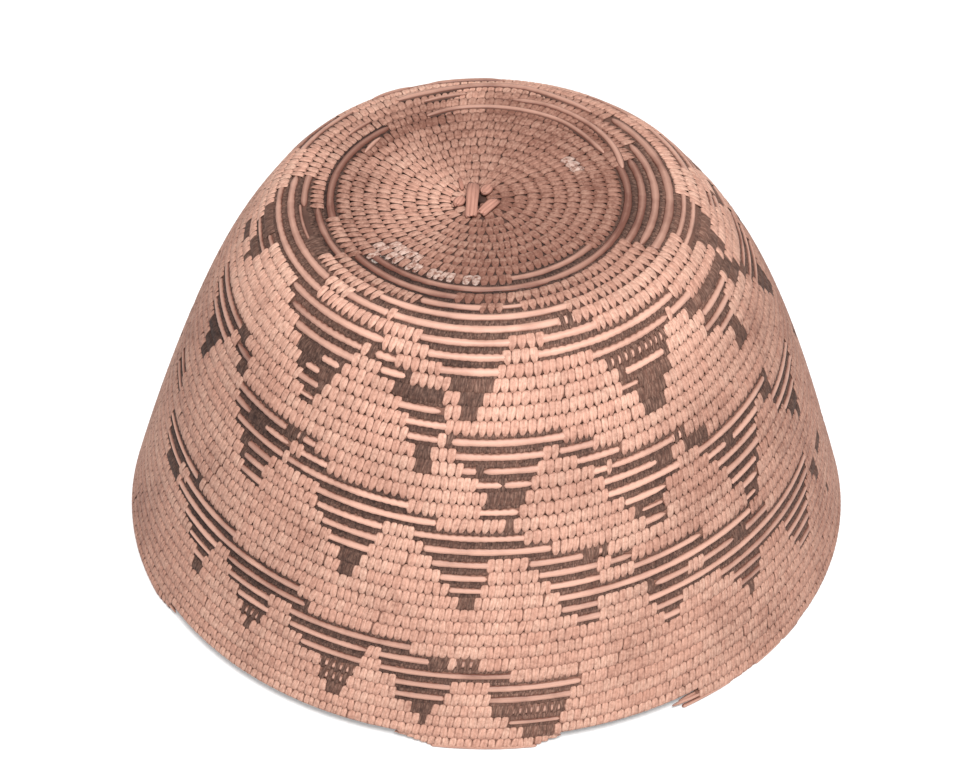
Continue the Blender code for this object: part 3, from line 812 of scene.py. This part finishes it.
for node, (start, end) in COIL_TURNS.items():
    turns = np.linspace(start, end, max(int((end - start) * STEPS_PER_TURN), FEWEST_STEPS))
    size = rim_size(turns)
    lift = -THIN_LIES_HIGHER * PITCH * (1 - size)
    rings = tube_points(turns, BUNDLE_HALF_DOWN * size, BUNDLE_HALF_OUT * size, 0 * turns, BUNDLE_SIDES,
                        shift=lift[:, None])
    rings[..., 2] = np.maximum(rings[..., 2], RODS_ABOVE_FLOOR)
    grain = tube_grain(np.arange(BUNDLE_SIDES) * GRAIN_PER_SIDE,
                       with_ends(turns) * 2 * np.pi * MEAN_RADIUS_IN_MM)
    depth = np.interp(with_ends(turns), DEPTH_AT, SLIT_SHADE_AND_GRIME)
    make_piece(node + "_bundle", rings, strips(1, len(rings), BUNDLE_SIDES, closed=True), sooty_and_shaded_bundle,
               "dark_sewing", node, soil=np.broadcast_to(depth[:, None], rings.shape[:2]), grain=grain)
print("bundles:", len(COIL_TURNS))

# %% [markdown]
# ## No two stitches alike
# A hand makes each stitch a little wider, longer or more slanted than the last, and neighbours share a
# tone, because one strand makes about a dozen stitches before the next is taken up. Copies of one stitch
# would look machine made, so each gets its own chance differences, from one seeded row of numbers.

# %% Chance differences
STITCHES_IN_A_STRAND = 11
NARROWEST, WIDEST = 2.0 * MM, 4.4 * MM
SLIT_SHARE = 0.62
MIDDLE_TONE, STRAND_TONES = 0.36, 0.3
# How much narrower than its rod the dip is, in shares of a course.
DIP_NARROWER = 0.02
# How deep a strand dips under a worn rod, in mm, by the kind of run.
DIPS = {"P": 0.0, "D": 0.0, "B": 1.2, "T": 0.8, "U": 0.8, "L": 0.8, "S": 0.0}
chance = np.random.default_rng(47)
count = len(places)


def varied(by):
    """A chance difference for every stitch, spread by the given amount."""
    return by * chance.standard_normal(count)


round_lengths = 2 * np.pi * np.maximum(meridian(course_line(places))[0], SMALLEST_ROUND)
spaces = np.clip(np.gradient(places) * round_lengths, NARROWEST, WIDEST) * (1 + varied(0.03))
lengths = 1 + varied(0.03)
leans = LEAN + varied(math.radians(3.5))
strand_tones = np.repeat(chance.random(count // STITCHES_IN_A_STRAND + 1), STITCHES_IN_A_STRAND)
tones = np.clip(MIDDLE_TONE + STRAND_TONES * strand_tones[:count] + varied(0.09), 0, 1)
dips = np.array([DIPS[kind] for kind in kind_of]) * MM * (1 + varied(0.1))
bare_halves = np.interp(course_of, ROD_HALF_AT, ROD_HALF_MM) * MM / PITCH - DIP_NARROWER + varied(0.025)
print("stitch spaces in mm:", round(float(spaces.min()) / MM, 2), "to", round(float(spaces.max()) / MM, 2))

# %% [markdown]
# ## Grime, painted shade, polish and lime
# Pots, ground and smoke have darkened the base, and hands have rubbed the flanks of the wall smooth. The
# wall is also darker towards both sides, a little more on the right, as painted shade. One even coat of
# grime would leave the basket flat and new. So each stitch gets an amount by its course, and a few named
# areas, read off the photograph, add to it or take from it.

# %% How grimy, shaded and polished each stitch is
SOIL_AT = (0, 6, 11, 13, 15, 18, 24, 30, 38, 47)
SOIL = (0.57, 0.53, 0.53, 0.31, 0.08, 0.02, 0.08, 0.12, 0.13, 0.13)
# By course, the degrees between which lime has crusted on the base. Then how white it is, and on what
# share of the stitches there it lies.
LIMED = {8: (112, 128), 9: (-48, -24), 10: (-55, -2), 11: (-50, -43)}
LIME_SEEN, LIME_SHARE = 0.42, 0.8


def ramp(values, start, end):
    """0 up to the start, 1 from the end on, and straight in between."""
    return np.clip((values - start) / (end - start), 0, 1)


def is_limed(course, degrees):
    start, end = LIMED.get(course, (0, 0))
    return start < degrees < end


round_of = np.radians(degrees_of)
towards_right, towards_front = np.sin(round_of), np.cos(round_of)
shade_on_the_sides = towards_right**2 * ramp(course_of, 19, 25)
AREAS = {
    "base, left, scoured": -0.42 * np.clip(-towards_right, 0, 1) * ramp(course_of, 11, 7),
    "base, front right": 0.10 * ramp(towards_front + towards_right, -0.6, 1.0) * ramp(course_of, 13, 10),
    # Painted shade: darker towards both sides of the wall, a little more on the right.
    "painted shade on both sides of the wall": 0.24 * shade_on_the_sides,
    "more painted shade to the right": 0.08 * (degrees_of > 0) * shade_on_the_sides,
    "dark root, left": 0.26 * is_dark * ramp(degrees_of, 5, -15),
    "dark root, faded at the heel": -0.14 * is_dark * ramp(course_of, 18, 15),
    "dark root, faded at the rim": -0.14 * is_dark * ramp(course_of, 38, 42),
    "dull patch at the front": 0.16 * np.isin(course_of, (12, 13)) * (np.abs(degrees_of + 26) < 34),
    "back of the heel": 0.14 * ((course_of > 10) & (course_of < 16) & (np.abs(degrees_of) > 115)
                                & (degrees_of > -165)),
}
course_soil = np.interp(course_of, SOIL_AT, SOIL) + sum(AREAS.values())
flanks = np.maximum(ramp(degrees_of, -30, -70), ramp(degrees_of, 30, 110))
polish = flanks * ramp(course_of, 14, 18) * ~is_dark
limed = LIME_SEEN * np.array([is_limed(c, a) for c, a in zip(course_of, degrees_of)])
limed *= chance.random(count) < LIME_SHARE
print("grimy areas:", len(AREAS), "limed stitches:", int((limed > 0).sum()))

# %% [markdown]
# ## Sew the basket
# The strands are made in pieces of a few courses each, so that no piece is too heavy to unwrap. Painted
# shade is told to the finish here too: at the edges and the tucked ends of each strand, and on a dark
# strand along the edges of the bare rod that lies over it.

# %% Strands over every course
PIECES = (
    (1, 8, "base_coil"), (9, 13, "base_coil"), (14, 17, "heel_coil"), (18, 21, "heel_coil"),
    (22, 25, "upper_wall_coil"), (26, 29, "upper_wall_coil"), (30, 33, "middle_wall_coil"),
    (34, 37, "middle_wall_coil"), (38, 40, "lower_wall_coil"), (41, 43, "lower_wall_coil"),
    (44, 47, "lower_wall_coil"),
)
LAST_WORN_COURSE = 17
PALE_END_SHADE_AT, PALE_END_SHADE = (-0.55, -0.44, -0.20, 0.10, 0.38, 0.62), (0.22, 0.03, 0, 0.03, 0.16, 0.36)
# On a dark strand that dips under a bare rod: painted shadow along the rod's edges, most just below it.
ROD_SHADOW_AT = (-0.62, -0.34, -0.26, 0.20, 0.26, 0.38, 0.51)
ROD_SHADOW = (0.05, 0, 0.1, 0.12, 0.25, 0.15, 0)
# For each root: its finish, its slot, how rounded it is and its painted shade along the strand.
ROOTS = {
    "pale": (pale_root, "light_sewing", 1.0, np.interp(PALE_PATH[:, 0], PALE_END_SHADE_AT, PALE_END_SHADE)),
    "dark": (dark_root, "dark_sewing", 0.3, np.interp(DARK_PATH[:, 0], ROD_SHADOW_AT, ROD_SHADOW)),
}
# At the five points across a strand: painted shade at its edges, and a tone that is lighter either side
# of the crest as a painted highlight and darker at the edges and down the middle as painted shade.
SIDE_SHADE = np.array([0.24, 0.02, 0.03, 0.02, 0.16])
SIDE_HIGHLIGHT_AND_SHADE = np.array([-0.15, 0.26, -0.14, 0.26, -0.05])
GRAIN_OFFSET = 90
POLISH_SMOOTHS, POLISH_WIDENS = 0.5, 0.05
widths = np.where(kind_of == "S", SLIT_SHARE * spaces, spaces) * (1 + POLISH_WIDENS * polish)


def sew(first, last, node, colour):
    """Makes the strands of one colour on a few courses."""
    wanted = (course_of >= first) & (course_of <= last) & (is_dark == (colour == "dark"))
    if not wanted.any():
        return
    finish, slot, roundness, shade_along_strand = ROOTS[colour]
    smooth = (1 - POLISH_SMOOTHS * polish[wanted])[:, None, None]
    own_path = pale_paths(course_of[wanted], polish[wanted]) if colour == "pale" else DARK_PATH
    points, lengthwise, across = strand_points(
        own_path, places[wanted], edge_of[wanted], dips[wanted], bare_halves[wanted], widths[wanted],
        lengths[wanted], leans[wanted], ROUNDING * roundness * smooth)
    offset = chance.random(wanted.sum())[:, None, None] * GRAIN_OFFSET
    # Painted shade along the strand: on every pale strand, and on dark strands that dip under a bare rod.
    shaded_ends = shade_along_strand[:, None] * ((colour == "pale") | (dips[wanted][:, None, None] > 0))
    soil = course_soil[wanted][:, None, None] + shaded_ends + SIDE_SHADE * smooth
    tone = tones[wanted][:, None, None] + SIDE_HIGHLIGHT_AND_SHADE + 0 * across
    make_piece(
        f"courses_{first}_to_{last}_{colour}_strands", points, strips(len(points), *points.shape[1:3]),
        finish, "worn_sewing" if last <= LAST_WORN_COURSE and colour == "pale" else slot, node,
        tone=np.clip(tone, 0, 1), soil=np.clip(soil, 0, 1), lime=limed[wanted][:, None, None] + 0 * across,
        grain=np.stack([across / MM + offset, lengthwise / MM + offset * 3, 0 * across], -1))
    print(first, last, colour, len(points), "stitches")


for first, last, node in PIECES:
    for colour in ROOTS:
        sew(first, last, node, colour)

# %% [markdown]
# ## Rods that show where the sewing is worn through
# Real: the outermost of the three rods, flush with what is left of the stitches. It shows as a pale
# stripe about half a course wide with scalloped edges, and dives under the sewing at both ends. Some are
# torn and end in a longer point. The stripe could be painted on the stitches, but it has a round crest
# that takes the light, so each run of the pattern that is worn gets its own length of rod, with its own
# waviness, all kept in one piece per group of courses.

# %% The shape of a bare rod
# For each kind of run: its share of the rod's width, how high its crest stands and how far it lies below
# the middle of its course, both in mm.
ROD_KINDS = {"B": (1.0, 2.46, 0), "T": (0.63, 2.46, 0), "U": (0.63, 2.46, -1.4), "L": (0.45, 2.46, 1.6),
             "S": (1.15, 2.1, 0), "R": (0.6, 2.3, 1.5)}
ROD_SIDES = 8
ROD_STEP, FEWEST_ROD_STEPS = 0.8 * MM, 10
TUCKED_UNDER = 1.2 * MM
TORN_SHARE = {"B": 0.14}
TAPER_MM, TORN_TAPER_MM, TORN_VARIES_MM = 0.7, 3, 2
THIN_END = 0.28
# Two waves along the rod, each by its length in mm and its height in shares of the width.
WAVES = ((7, 0.03), (23, 0.06))
# How deep old stitches have bitten into the rod, in shares of its width, by course. Each rod is bitten
# by its own share of that.
BITTEN_AT, BITTEN = (14, 17, 28, 34), (0, 0.38, 0.32, 0.12)
LEAST_BITTEN, BITTEN_VARIES = 0.3, 0.9
BITTEN_EDGE = 0.3
around_rod = np.arange(ROD_SIDES) / ROD_SIDES * 2 * np.pi


def rod_taper(travelled, length, torn, wobble):
    """1 along the rod, and less towards its ends."""
    narrowing = np.where(torn, TORN_TAPER_MM + TORN_VARIES_MM * wobble.random(2), TAPER_MM) * MM
    from_start = np.clip(travelled / narrowing[0], 0, 1)
    from_end = np.clip((length - travelled) / narrowing[1], 0, 1)
    return np.minimum(from_start, from_end) ** 0.5 * (1 - THIN_END) + THIN_END


def stitch_bites(course, travelled, wobble):
    """How far old stitches have cut in: fully on the rod's upper edge, and half on its lower one."""
    space = stitch_space(course) * (1 + 0.03 * wobble.standard_normal())
    bites = 1 - np.abs(np.sin(np.pi * travelled / space + wobble.random() * 3))
    depth = np.interp(course, BITTEN_AT, BITTEN) * (LEAST_BITTEN + BITTEN_VARIES * wobble.random())
    side = np.sin(around_rod)
    edges = (side < -BITTEN_EDGE) + 0.5 * (side > BITTEN_EDGE)
    return depth * bites[:, None] * edges


# %% [markdown]
# ## How grimy and shaded a bare rod is
# A rod is lightest on its crest, with painted shade down its sides, and it grows darker towards its
# ends. The ones on the base, on the left and low on the right are duller, as they are in the photograph.

# %% Grime and painted shade on a bare rod
ROD_SOIL_AT, ROD_SOIL = (9, 12, 14, 16, 32, 40), (0.48, 0.38, 0.06, -0.04, 0.03, 0.15)
RIGHT_ROD_SOIL_AT, RIGHT_ROD_SOIL = (13, 17, 20), (0.24, 0.24, 0.16)
LEFT_ROD_SOIL = 0.3
# Painted shade down a rod's sides, how much darker it grows towards its ends, and how much rods differ in
# grime.
ROD_SIDE_SHADE, ROD_END_DARKENING, ROD_SOIL_VARIES = 0.7, 0.3, 0.22
# The degrees, and on the left the courses too, between which the duller rods begin.
ON_THE_LEFT, ABOVE_THE_LOWER_WALL, ON_THE_RIGHT = (-28, -48), (38, 32), (40, 65)


def rod_soil(course, turns, taper, wobble):
    degrees = (with_ends(turns) - course) * 360
    # Painted shade down the rod's sides, and darker towards its ends.
    sides = ROD_SIDE_SHADE * np.abs(np.sin(around_rod)) ** 3
    soil = sides + ROD_END_DARKENING * (1 - with_ends(taper)[:, None])
    left = LEFT_ROD_SOIL * ramp(degrees, *ON_THE_LEFT) * ramp(course, *ABOVE_THE_LOWER_WALL)
    right = ramp(degrees, *ON_THE_RIGHT) * np.interp(course, RIGHT_ROD_SOIL_AT, RIGHT_ROD_SOIL)
    by_place = np.interp(course, ROD_SOIL_AT, ROD_SOIL) + left + right
    return soil + ROD_SOIL_VARIES * wobble.random() + by_place[:, None]


# %% One length of bare rod
HALF_VARIES, HEIGHT_VARIES_MM = 0.05, 0.12
ROD_THICK, THINNEST = 0.95 * MM, 0.4
DIVES = 0.4 * MM


def worn_rod(course, kind, start, end, seed):
    """Rings for one length of bare rod, with its grime, painted shade and grain."""
    wobble = np.random.default_rng(seed)
    share_of_rod, crest, lower = ROD_KINDS[kind]
    half = share_of_rod * np.interp(course, ROD_HALF_AT, ROD_HALF_MM)
    half = half * (1 + HALF_VARIES * wobble.standard_normal())
    torn = wobble.random(2) < TORN_SHARE.get(kind, 0)
    tucked = TUCKED_UNDER / round_length(turn_at(course, start))
    first = turn_at(course, start) - tucked * (not torn[0])
    last = turn_at(course, end) + tucked * (not torn[1])
    length = (last - first) * round_length(first)
    steps = max(int(length / ROD_STEP), FEWEST_ROD_STEPS)
    turns, travelled = np.linspace(first, last, steps), np.linspace(0, length, steps)
    waves = sum(
        high * np.sin(travelled / (long * MM) * 2 * np.pi + wobble.random() * 6.3)
        for long, high in WAVES
    )
    taper = rod_taper(travelled, length, torn, wobble)
    uneven = (1 + waves) * taper
    down_half = half * MM * uneven[:, None] * (1 - stitch_bites(course, travelled, wobble))
    out_half = ROD_THICK * (THINNEST + (1 - THINNEST) * taper)
    centre = crest * MM - out_half - DIVES * (1 - taper)
    shift = (lower + HEIGHT_VARIES_MM * wobble.standard_normal()) * MM
    rings = tube_points(turns, down_half, out_half, centre, ROD_SIDES, shift)
    grain = tube_grain(around_rod * GRAIN_PER_SIDE + seed, with_ends(travelled) / MM + seed * 7)
    return rings, rod_soil(course, turns, taper, wobble), grain


# %% Many rods in one piece
def make_rods(name, rods, finish, slot, node):
    """One piece of many rods, each given as its rings, grime and painted shade, and grain."""
    faces, start_at = [], 0
    for rings, _, _ in rods:
        faces.append(strips(1, len(rings), ROD_SIDES, closed=True) + start_at)
        start_at += len(rings) * ROD_SIDES
    rings, soil, grain = (np.concatenate(parts) for parts in zip(*rods))
    make_piece(name, rings, np.vstack(faces), finish, slot, node, soil=np.clip(soil, 0, 1), grain=grain)


# %% Bare rods along the worn runs
SEEDS_IN_A_COURSE = 100
made = 0
for first, last, node in PIECES:
    rods = [
        worn_rod(course, kind, start, end, course * SEEDS_IN_A_COURSE + number)
        for course in range(first, last + 1)
        for number, (kind, start, end) in enumerate(WHOLE_RUNS[course])
        if kind in ROD_KINDS
    ]
    made += len(rods)
    if rods:
        make_rods(f"courses_{first}_to_{last}_bare_rods", rods, peeled_willow, "bare_rod", node)
print("lengths of bare rod:", made)

# %% [markdown]
# ## Rods that have sprung loose at the back of the base
# Real: behind the base ring the outer rods have come away from their courses. They wander from one
# course to the next, the ring splits in two and a long rod lies along the back of the heel, with a
# shadowed slit beside each. They could be drawn as runs like the rest, but a run can't leave its course,
# so each is a line through a few places read off the photograph, between the courses too, with a wider
# dark rod below it in the bundle's finish, as painted shadow in the slit.

# %% Loose rods
# For each: half its width in mm, and the courses and degrees that it passes.
LOOSE_RODS = (
    (1.45, ((11.10, 106), (11.76, 123), (12.16, 140), (12.44, 155), (12.27, 169))),
    (1.25, ((10.65, 118), (10.60, 125), (11.10, 147), (11.10, 164), (11.09, 177), (12.06, -170),
            (11.89, -164), (11.64, -156))),
    (1.50, ((14.72, -150), (14.69, -163), (15.10, -178), (14.20, 168), (13.72, 155), (13.45, 141))),
    (0.90, ((13.55, -158), (13.91, -174))),
    (1.20, ((16.08, -162), (16.12, -165), (16.06, -171), (16.04, -177), (15.07, 174))),
    (1.20, ((16.40, -145), (16.32, -152), (16.16, -158))),
    (1.10, ((11.00, -119), (11.30, -131))),
    (1.00, ((13.50, -125), (13.46, -136))),
)
LOOSE_CREST, SLIT_CREST, SLIT_WIDER = 3.5, 2.75, 0.8
LOOSE_THICK = 1.1 * MM
LOOSE_TAPER, LOOSE_END = 5 * MM, 0.35
# Grime on a loose rod, and painted shade down its sides.
LOOSE_SOIL, LOOSE_SIDE_SHADE = 0.38, 0.6
LOOSE_TURN = 12
STEPS_IN_A_DEGREE, FEWEST_LOOSE_STEPS = 1.5, 12
SMOOTHED_OVER = 15


def loose_line(read_at):
    """Turns and distances down the bowl along a loose rod, through the places it was read at."""
    marks = sorted((degrees % 360, course, degrees) for course, degrees in read_at)
    downs = [
        float(course_line(turn_at(round(course), degrees))) + (course - round(course)) * PITCH
        for _, course, degrees in marks
    ]
    first, last = marks[0][0], marks[-1][0]
    way = np.linspace(first, last, max(int((last - first) * STEPS_IN_A_DEGREE), FEWEST_LOOSE_STEPS))
    straight = np.interp(way, [mark[0] for mark in marks], downs)
    near = min(SMOOTHED_OVER, len(way) // 2 * 2 - 1)
    smooth = np.convolve(np.pad(straight, near // 2, "edge"), np.ones(near) / near, "valid")
    return turn_at(LOOSE_TURN, way), smooth


def loose_rod(number, half, read_at, crest):
    """Rings for one loose rod or the shadow slit below it, with its grime, painted shade and grain."""
    turns, downs = loose_line(read_at)
    length = (turns[-1] - turns[0]) * round_length(LOOSE_TURN + 0.3)
    travelled = np.linspace(0, 1, len(turns)) * length
    to_an_end = np.minimum(travelled, length - travelled)
    taper = LOOSE_END + (1 - LOOSE_END) * np.clip(to_an_end / LOOSE_TAPER, 0, 1) ** 0.6
    centre = crest * MM - LOOSE_THICK + 0 * taper
    shift = (downs - course_line(turns))[:, None]
    rings = tube_points(turns, half * MM * taper, LOOSE_THICK * taper, centre, ROD_SIDES, shift)
    soil = LOOSE_SOIL + LOOSE_SIDE_SHADE * np.abs(np.sin(around_rod)) ** 3
    grain = tube_grain(around_rod * GRAIN_PER_SIDE + number * 5, with_ends(travelled) / MM)
    return rings, soil + 0 * with_ends(taper)[:, None], grain


# Each loose rod, and below it a wider dark rod in the bundle's finish as the painted shadow in its slit.
LOOSE_PARTS = (
    ("rods", peeled_willow, "bare_rod", 0, LOOSE_CREST),
    ("shadow_slits", sooty_and_shaded_bundle, "dark_sewing", SLIT_WIDER, SLIT_CREST),
)
for part, finish, slot, wider, crest in LOOSE_PARTS:
    rods = [
        loose_rod(number, half + wider, read_at, crest)
        for number, (half, read_at) in enumerate(LOOSE_RODS)
    ]
    make_rods("loose_" + part, rods, finish, slot, ["base_coil", "heel_coil"])
print("loose rods:", len(LOOSE_RODS))

# %% [markdown]
# ## Ragged rod ends at the rim
# Real: where the last course has broken away, the three rods of its bundle stick out past the sewing,
# each broken at its own length and worn to a blunt point. The frame has most of them as short cylinders,
# and these stand in their places with the taper, bend and grain of a real broken shoot. The tail's start
# is no node of the frame, so its rods go with the tail.

# %% Broken rods past the sewing
# For each end: its azimuth, which way it points and how far its longest rod reaches in mm.
ENDS = {
    "wall_end": (WALL_END, 1, 7),
    "fragment_left": (FRAGMENT[0], -1, 4),
    "fragment_right": (FRAGMENT[1], 1, 4),
    "tail": (TAIL[1], 1, 7),
    "tail_start": (TAIL[0], -1, 15),
}
REACH_SHARES = (1.0, 0.7, 0.5)
ROD_SPREAD = 1.08 * MM
BROKEN_HALF, BROKEN_END = 0.92 * MM, 0.3
INTO_THE_BUNDLE, BROKEN_TAPER = 6 * MM, 4.5 * MM
FULL_BEND_AT, BENT_BY = 7 * MM, 0.3 * MM
BROKEN_STEPS = 16
BROKEN_SOIL, BROKEN_END_SOIL = 0.3, 0.4
FIRST_SEED = 900


def broken_rod(number, seed, degrees, heading, reach_mm):
    """Rings for one of an end's three rods, with its soil and grain."""
    wobble = np.random.default_rng(seed)
    turn = turn_at(COURSES, degrees)
    fullness = float(rim_size(turn_at(turn, -heading * 0.5)))
    out_of = reach_mm * MM * REACH_SHARES[number] * fullness
    travelled = np.linspace(-INTO_THE_BUNDLE, out_of, BROKEN_STEPS)
    turns = turn + heading * travelled / round_length(turn)
    left = np.clip((out_of - travelled) / BROKEN_TAPER, 0, 1)
    half = BROKEN_HALF * (BROKEN_END + (1 - BROKEN_END) * left**0.5) * (1 + fullness) / 2
    bend = BENT_BY * np.clip(travelled / FULL_BEND_AT, 0, 1) ** 2 * wobble.standard_normal()
    spread, angle = ROD_SPREAD * fullness, math.radians(90 + 120 * number)
    shift = spread * math.cos(angle) - THIN_LIES_HIGHER * PITCH * (1 - fullness)
    rings = tube_points(turns, half, half, spread * math.sin(angle) + bend, ROD_SIDES, shift)
    grain = tube_grain(np.arange(ROD_SIDES) * 0.8 + number * 9, with_ends(travelled) / MM)
    soil = BROKEN_SOIL + BROKEN_END_SOIL * (1 - with_ends(left)[:, None])
    soil = np.broadcast_to(soil, rings.shape[:2])
    return rings, soil, grain


for place, (name, end) in enumerate(ENDS.items()):
    for number in range(len(REACH_SHARES)):
        rod = broken_rod(number, FIRST_SEED + 10 * place + number, *end)
        node = "rim_tail" if name == "tail_start" else f"{name}_rod_{number + 1}"
        make_rods(f"{name}_rod_{number + 1}_broken", [rod], peeled_willow, "bare_rod", node)
print("broken rod ends:", len(REACH_SHARES) * len(ENDS))

# %% [markdown]
# ## The starting knot
# Real: the weaver ties the first strips of split willow over each other and sews round them. Two flat
# splints cross on top, torn into fibres at their ends, with the stubs of the rest beside them. A box
# would be too crisp, so each is a strip that is arched across and along, thinner and ragged at its ends.

# %% The face of one splint
KNOT_REACH = 12 * MM
KNOT_STEPS, KNOT_WIDE = 22, 15
RIDGE = 0.2 * MM
SPLINT_THICK = 1.0 * MM
FIRST_SPLINT_SEED = 300
# For each: length, width, heading in degrees, place in shares of the knot's reach, rise along and crown
# across in mm, how square its ends are, and how far its near end splays.
KNOT = {
    "start_splint_long": (24.5, 5.4, 87.5, (-0.20, -0.20), 1.1, 0.5, 9, 0.14),
    "start_splint_cross": (12.6, 5.0, 56.0, (0.40, -0.62), 0.8, 0.4, 9, 0.0),
    "start_stub_right": (7.0, 5.0, 62.0, (0.32, 0.42), 0.8, 1.3, 2.4, 0.0),
    "start_stub_left": (6.8, 5.0, 68.0, (-0.66, -0.26), 0.6, 1.0, 2.4, 0.0),
    "start_sliver": (8.5, 1.7, 100.0, (-0.62, 0.80), 0.5, 0.5, 4, 0.0),
}
knot_middle = on_bowl(0.0, 0.0, 0.0)
lengthwise = np.linspace(-1, 1, KNOT_STEPS)[:, None]
crosswise = np.linspace(-1, 1, KNOT_WIDE)[None, :]


def splint_face(number, length, width, rise, crown, square, splay):
    """Along, across and height of a splint's upper face, and the height of its ridges alone."""
    wobble = np.random.default_rng(FIRST_SPLINT_SEED + number)
    end_on = np.abs(lengthwise)
    fray = 1 + 0.09 * wobble.standard_normal((1, KNOT_WIDE)) * end_on**3
    along = lengthwise * fray * length / 2 * MM
    if square < 3:
        full = (1.02 - end_on**square) ** 0.5
    else:
        full = 0.7 + 0.3 * (1 - end_on**square)
    full = full * (1 + splay * np.clip(-lengthwise, 0, 1) ** 3)
    across = crosswise * width / 2 * MM * full * (1 + 0.05 * np.sin(3 * lengthwise + number))
    coarse = np.sin(crosswise * 9 + wobble.random() * 6 + lengthwise)
    fine = 0.6 * np.sin(crosswise * 19 + wobble.random() * 6)
    ridges = RIDGE * (coarse + fine) * (1 - crosswise**4)
    arch = (1 - crosswise**2) * crown * MM + (1 - lengthwise**2) * rise * MM
    return along, across, arch * 0.7 + ridges, ridges


# %% Splints of split willow
# How much darker a splint is: a little all over, more in the grooves between its ridges and along its
# edges, painted shade on its underside, and more towards its far end.
LEAST_SOIL, GROOVE_DARKENING, EDGE_DARKENING, UNDER_SHADE, FAR_END_SOIL = 0.05, 0.35, 0.5, 0.8, 0.3
# The share of its frame solid's height from which each splint rises.
SPLINT_RISES_FROM = 0.45


def both_faces(upper, under):
    return np.concatenate([upper, under[:, ::-1]], 1)


for number, (node, (length, width, heading, place, *form)) in enumerate(KNOT.items()):
    along, across, raised, ridges = splint_face(number, length, width, *form)
    low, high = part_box(node)
    turn = math.radians(heading)
    x = knot_middle[0] + place[0] * KNOT_REACH + along * math.cos(turn) - across * math.sin(turn)
    y = knot_middle[1] + place[1] * KNOT_REACH + along * math.sin(turn) + across * math.cos(turn)
    z = low[2] + (high[2] - low[2]) * SPLINT_RISES_FROM + raised
    upper = np.stack([x, y, z], -1)
    points = closed_ends(both_faces(upper, upper - np.array((0, 0, SPLINT_THICK))))
    grain_across = both_faces(crosswise, crosswise) * width / 2 + 7 * number
    grain = tube_grain(grain_across, with_ends(along[:, 0]) / MM)
    groove = GROOVE_DARKENING * np.clip(-both_faces(ridges, ridges) / RIDGE, 0, 1)
    edges = both_faces(EDGE_DARKENING * np.abs(crosswise) ** 4, UNDER_SHADE + 0 * crosswise)
    soil = LEAST_SOIL + edges + with_ends(groove + FAR_END_SOIL * np.clip(lengthwise, 0, 1) ** 2)
    make_piece(node + "_fibrous", points, strips(1, len(points), 2 * KNOT_WIDE, closed=True), split_willow,
               "splint_wood", node, soil=np.clip(soil, 0, 1), grain=grain)
print("splints:", len(KNOT))

# %% [markdown]
# ## Floor and room
# The photograph has a white ground. A wide matt floor takes the basket's soft shadow, and a little glow
# that only the camera sees brings its lit part to white, with no more light on the basket. A white
# backdrop picture would be simpler, but it would take no shadow.

# %% Floor and room
FLOOR_GLOW = (0.28, 0.28, 0.28, 1)
FLOOR_SIZE, FLOOR_BELOW = 12, 0.1 * MM
ROOM_LIGHT, ROOM_SEEN = 0.55, 1.0
floor_finish, floor_shader = new_finish("pale_floor")
floor_shader.inputs["Base Color"].default_value = linear("#f2f2f2")
floor_shader.inputs["Roughness"].default_value = 0.9
rays = add(floor_finish, "LightPath")
glow = add(floor_finish, "Emission", {"Strength": rays.outputs["Is Camera Ray"]}, Color=FLOOR_GLOW)
both = add(floor_finish, "AddShader", {0: floor_shader.outputs[0], 1: glow.outputs[0]})
floor_output = floor_finish.node_tree.nodes["Material Output"]
floor_finish.node_tree.links.new(both.outputs[0], floor_output.inputs["Surface"])
bpy.ops.mesh.primitive_plane_add(size=FLOOR_SIZE, location=(0, 0, -FLOOR_BELOW))
floor = bpy.context.object
floor.name = "floor"
floor.data.materials.append(floor_finish)

scene = bpy.context.scene
scene.view_settings.view_transform = "Standard"
scene.world = bpy.data.worlds.new("soft_room")
scene.world.use_nodes = True
room = scene.world.node_tree.nodes["Background"]
room.inputs["Color"].default_value = (1, 1, 1, 1)
seen = add(scene.world, "LightPath")
level = add(scene.world, "MapRange", {"Value": seen.outputs["Is Camera Ray"]},
            To_Min=ROOM_LIGHT, To_Max=ROOM_SEEN)
scene.world.node_tree.links.new(level.outputs["Result"], room.inputs["Strength"])
print("floor size in m:", [round(v, 1) for v in floor.dimensions[:2]])

# %% [markdown]
# ## Light and camera
# One broad lamp stands high in front, a little to the right, where the wall is brightest, and the room
# fills in the rest. The camera was fitted to the rim, the base ring and the outline: 41 degrees down,
# with a long lens.

# %% Lamp and camera
LAMP_PLACE, LAMP_AIM = Vector((0.14, -0.85, 1.45)), Vector((0, 0, 0.08))
LAMP_SIZE, LAMP_POWER = 0.6, 24
CAMERA_PLACE, CAMERA_TILT = (-0.00326, -0.8369, 0.7820), 49.24
LENS_MM, SENSOR_MM = 88.8, 36
lamp = bpy.data.objects.new("high_front_lamp", bpy.data.lights.new("high_front_lamp", "AREA"))
lamp.data.shape = "DISK"
lamp.data.size = LAMP_SIZE
lamp.data.energy = LAMP_POWER
lamp.location = LAMP_PLACE
lamp.rotation_euler = (LAMP_AIM - LAMP_PLACE).to_track_quat("-Z", "Y").to_euler()
scene.collection.objects.link(lamp)
camera = bpy.data.objects.new("camera", bpy.data.cameras.new("camera"))
camera.data.lens = LENS_MM
camera.data.sensor_width = SENSOR_MM
camera.data.clip_end = 50
camera.location = CAMERA_PLACE
camera.rotation_euler = (math.radians(CAMERA_TILT), 0, 0)
scene.collection.objects.link(camera)
scene.camera = camera
print("camera lens:", camera.data.lens)
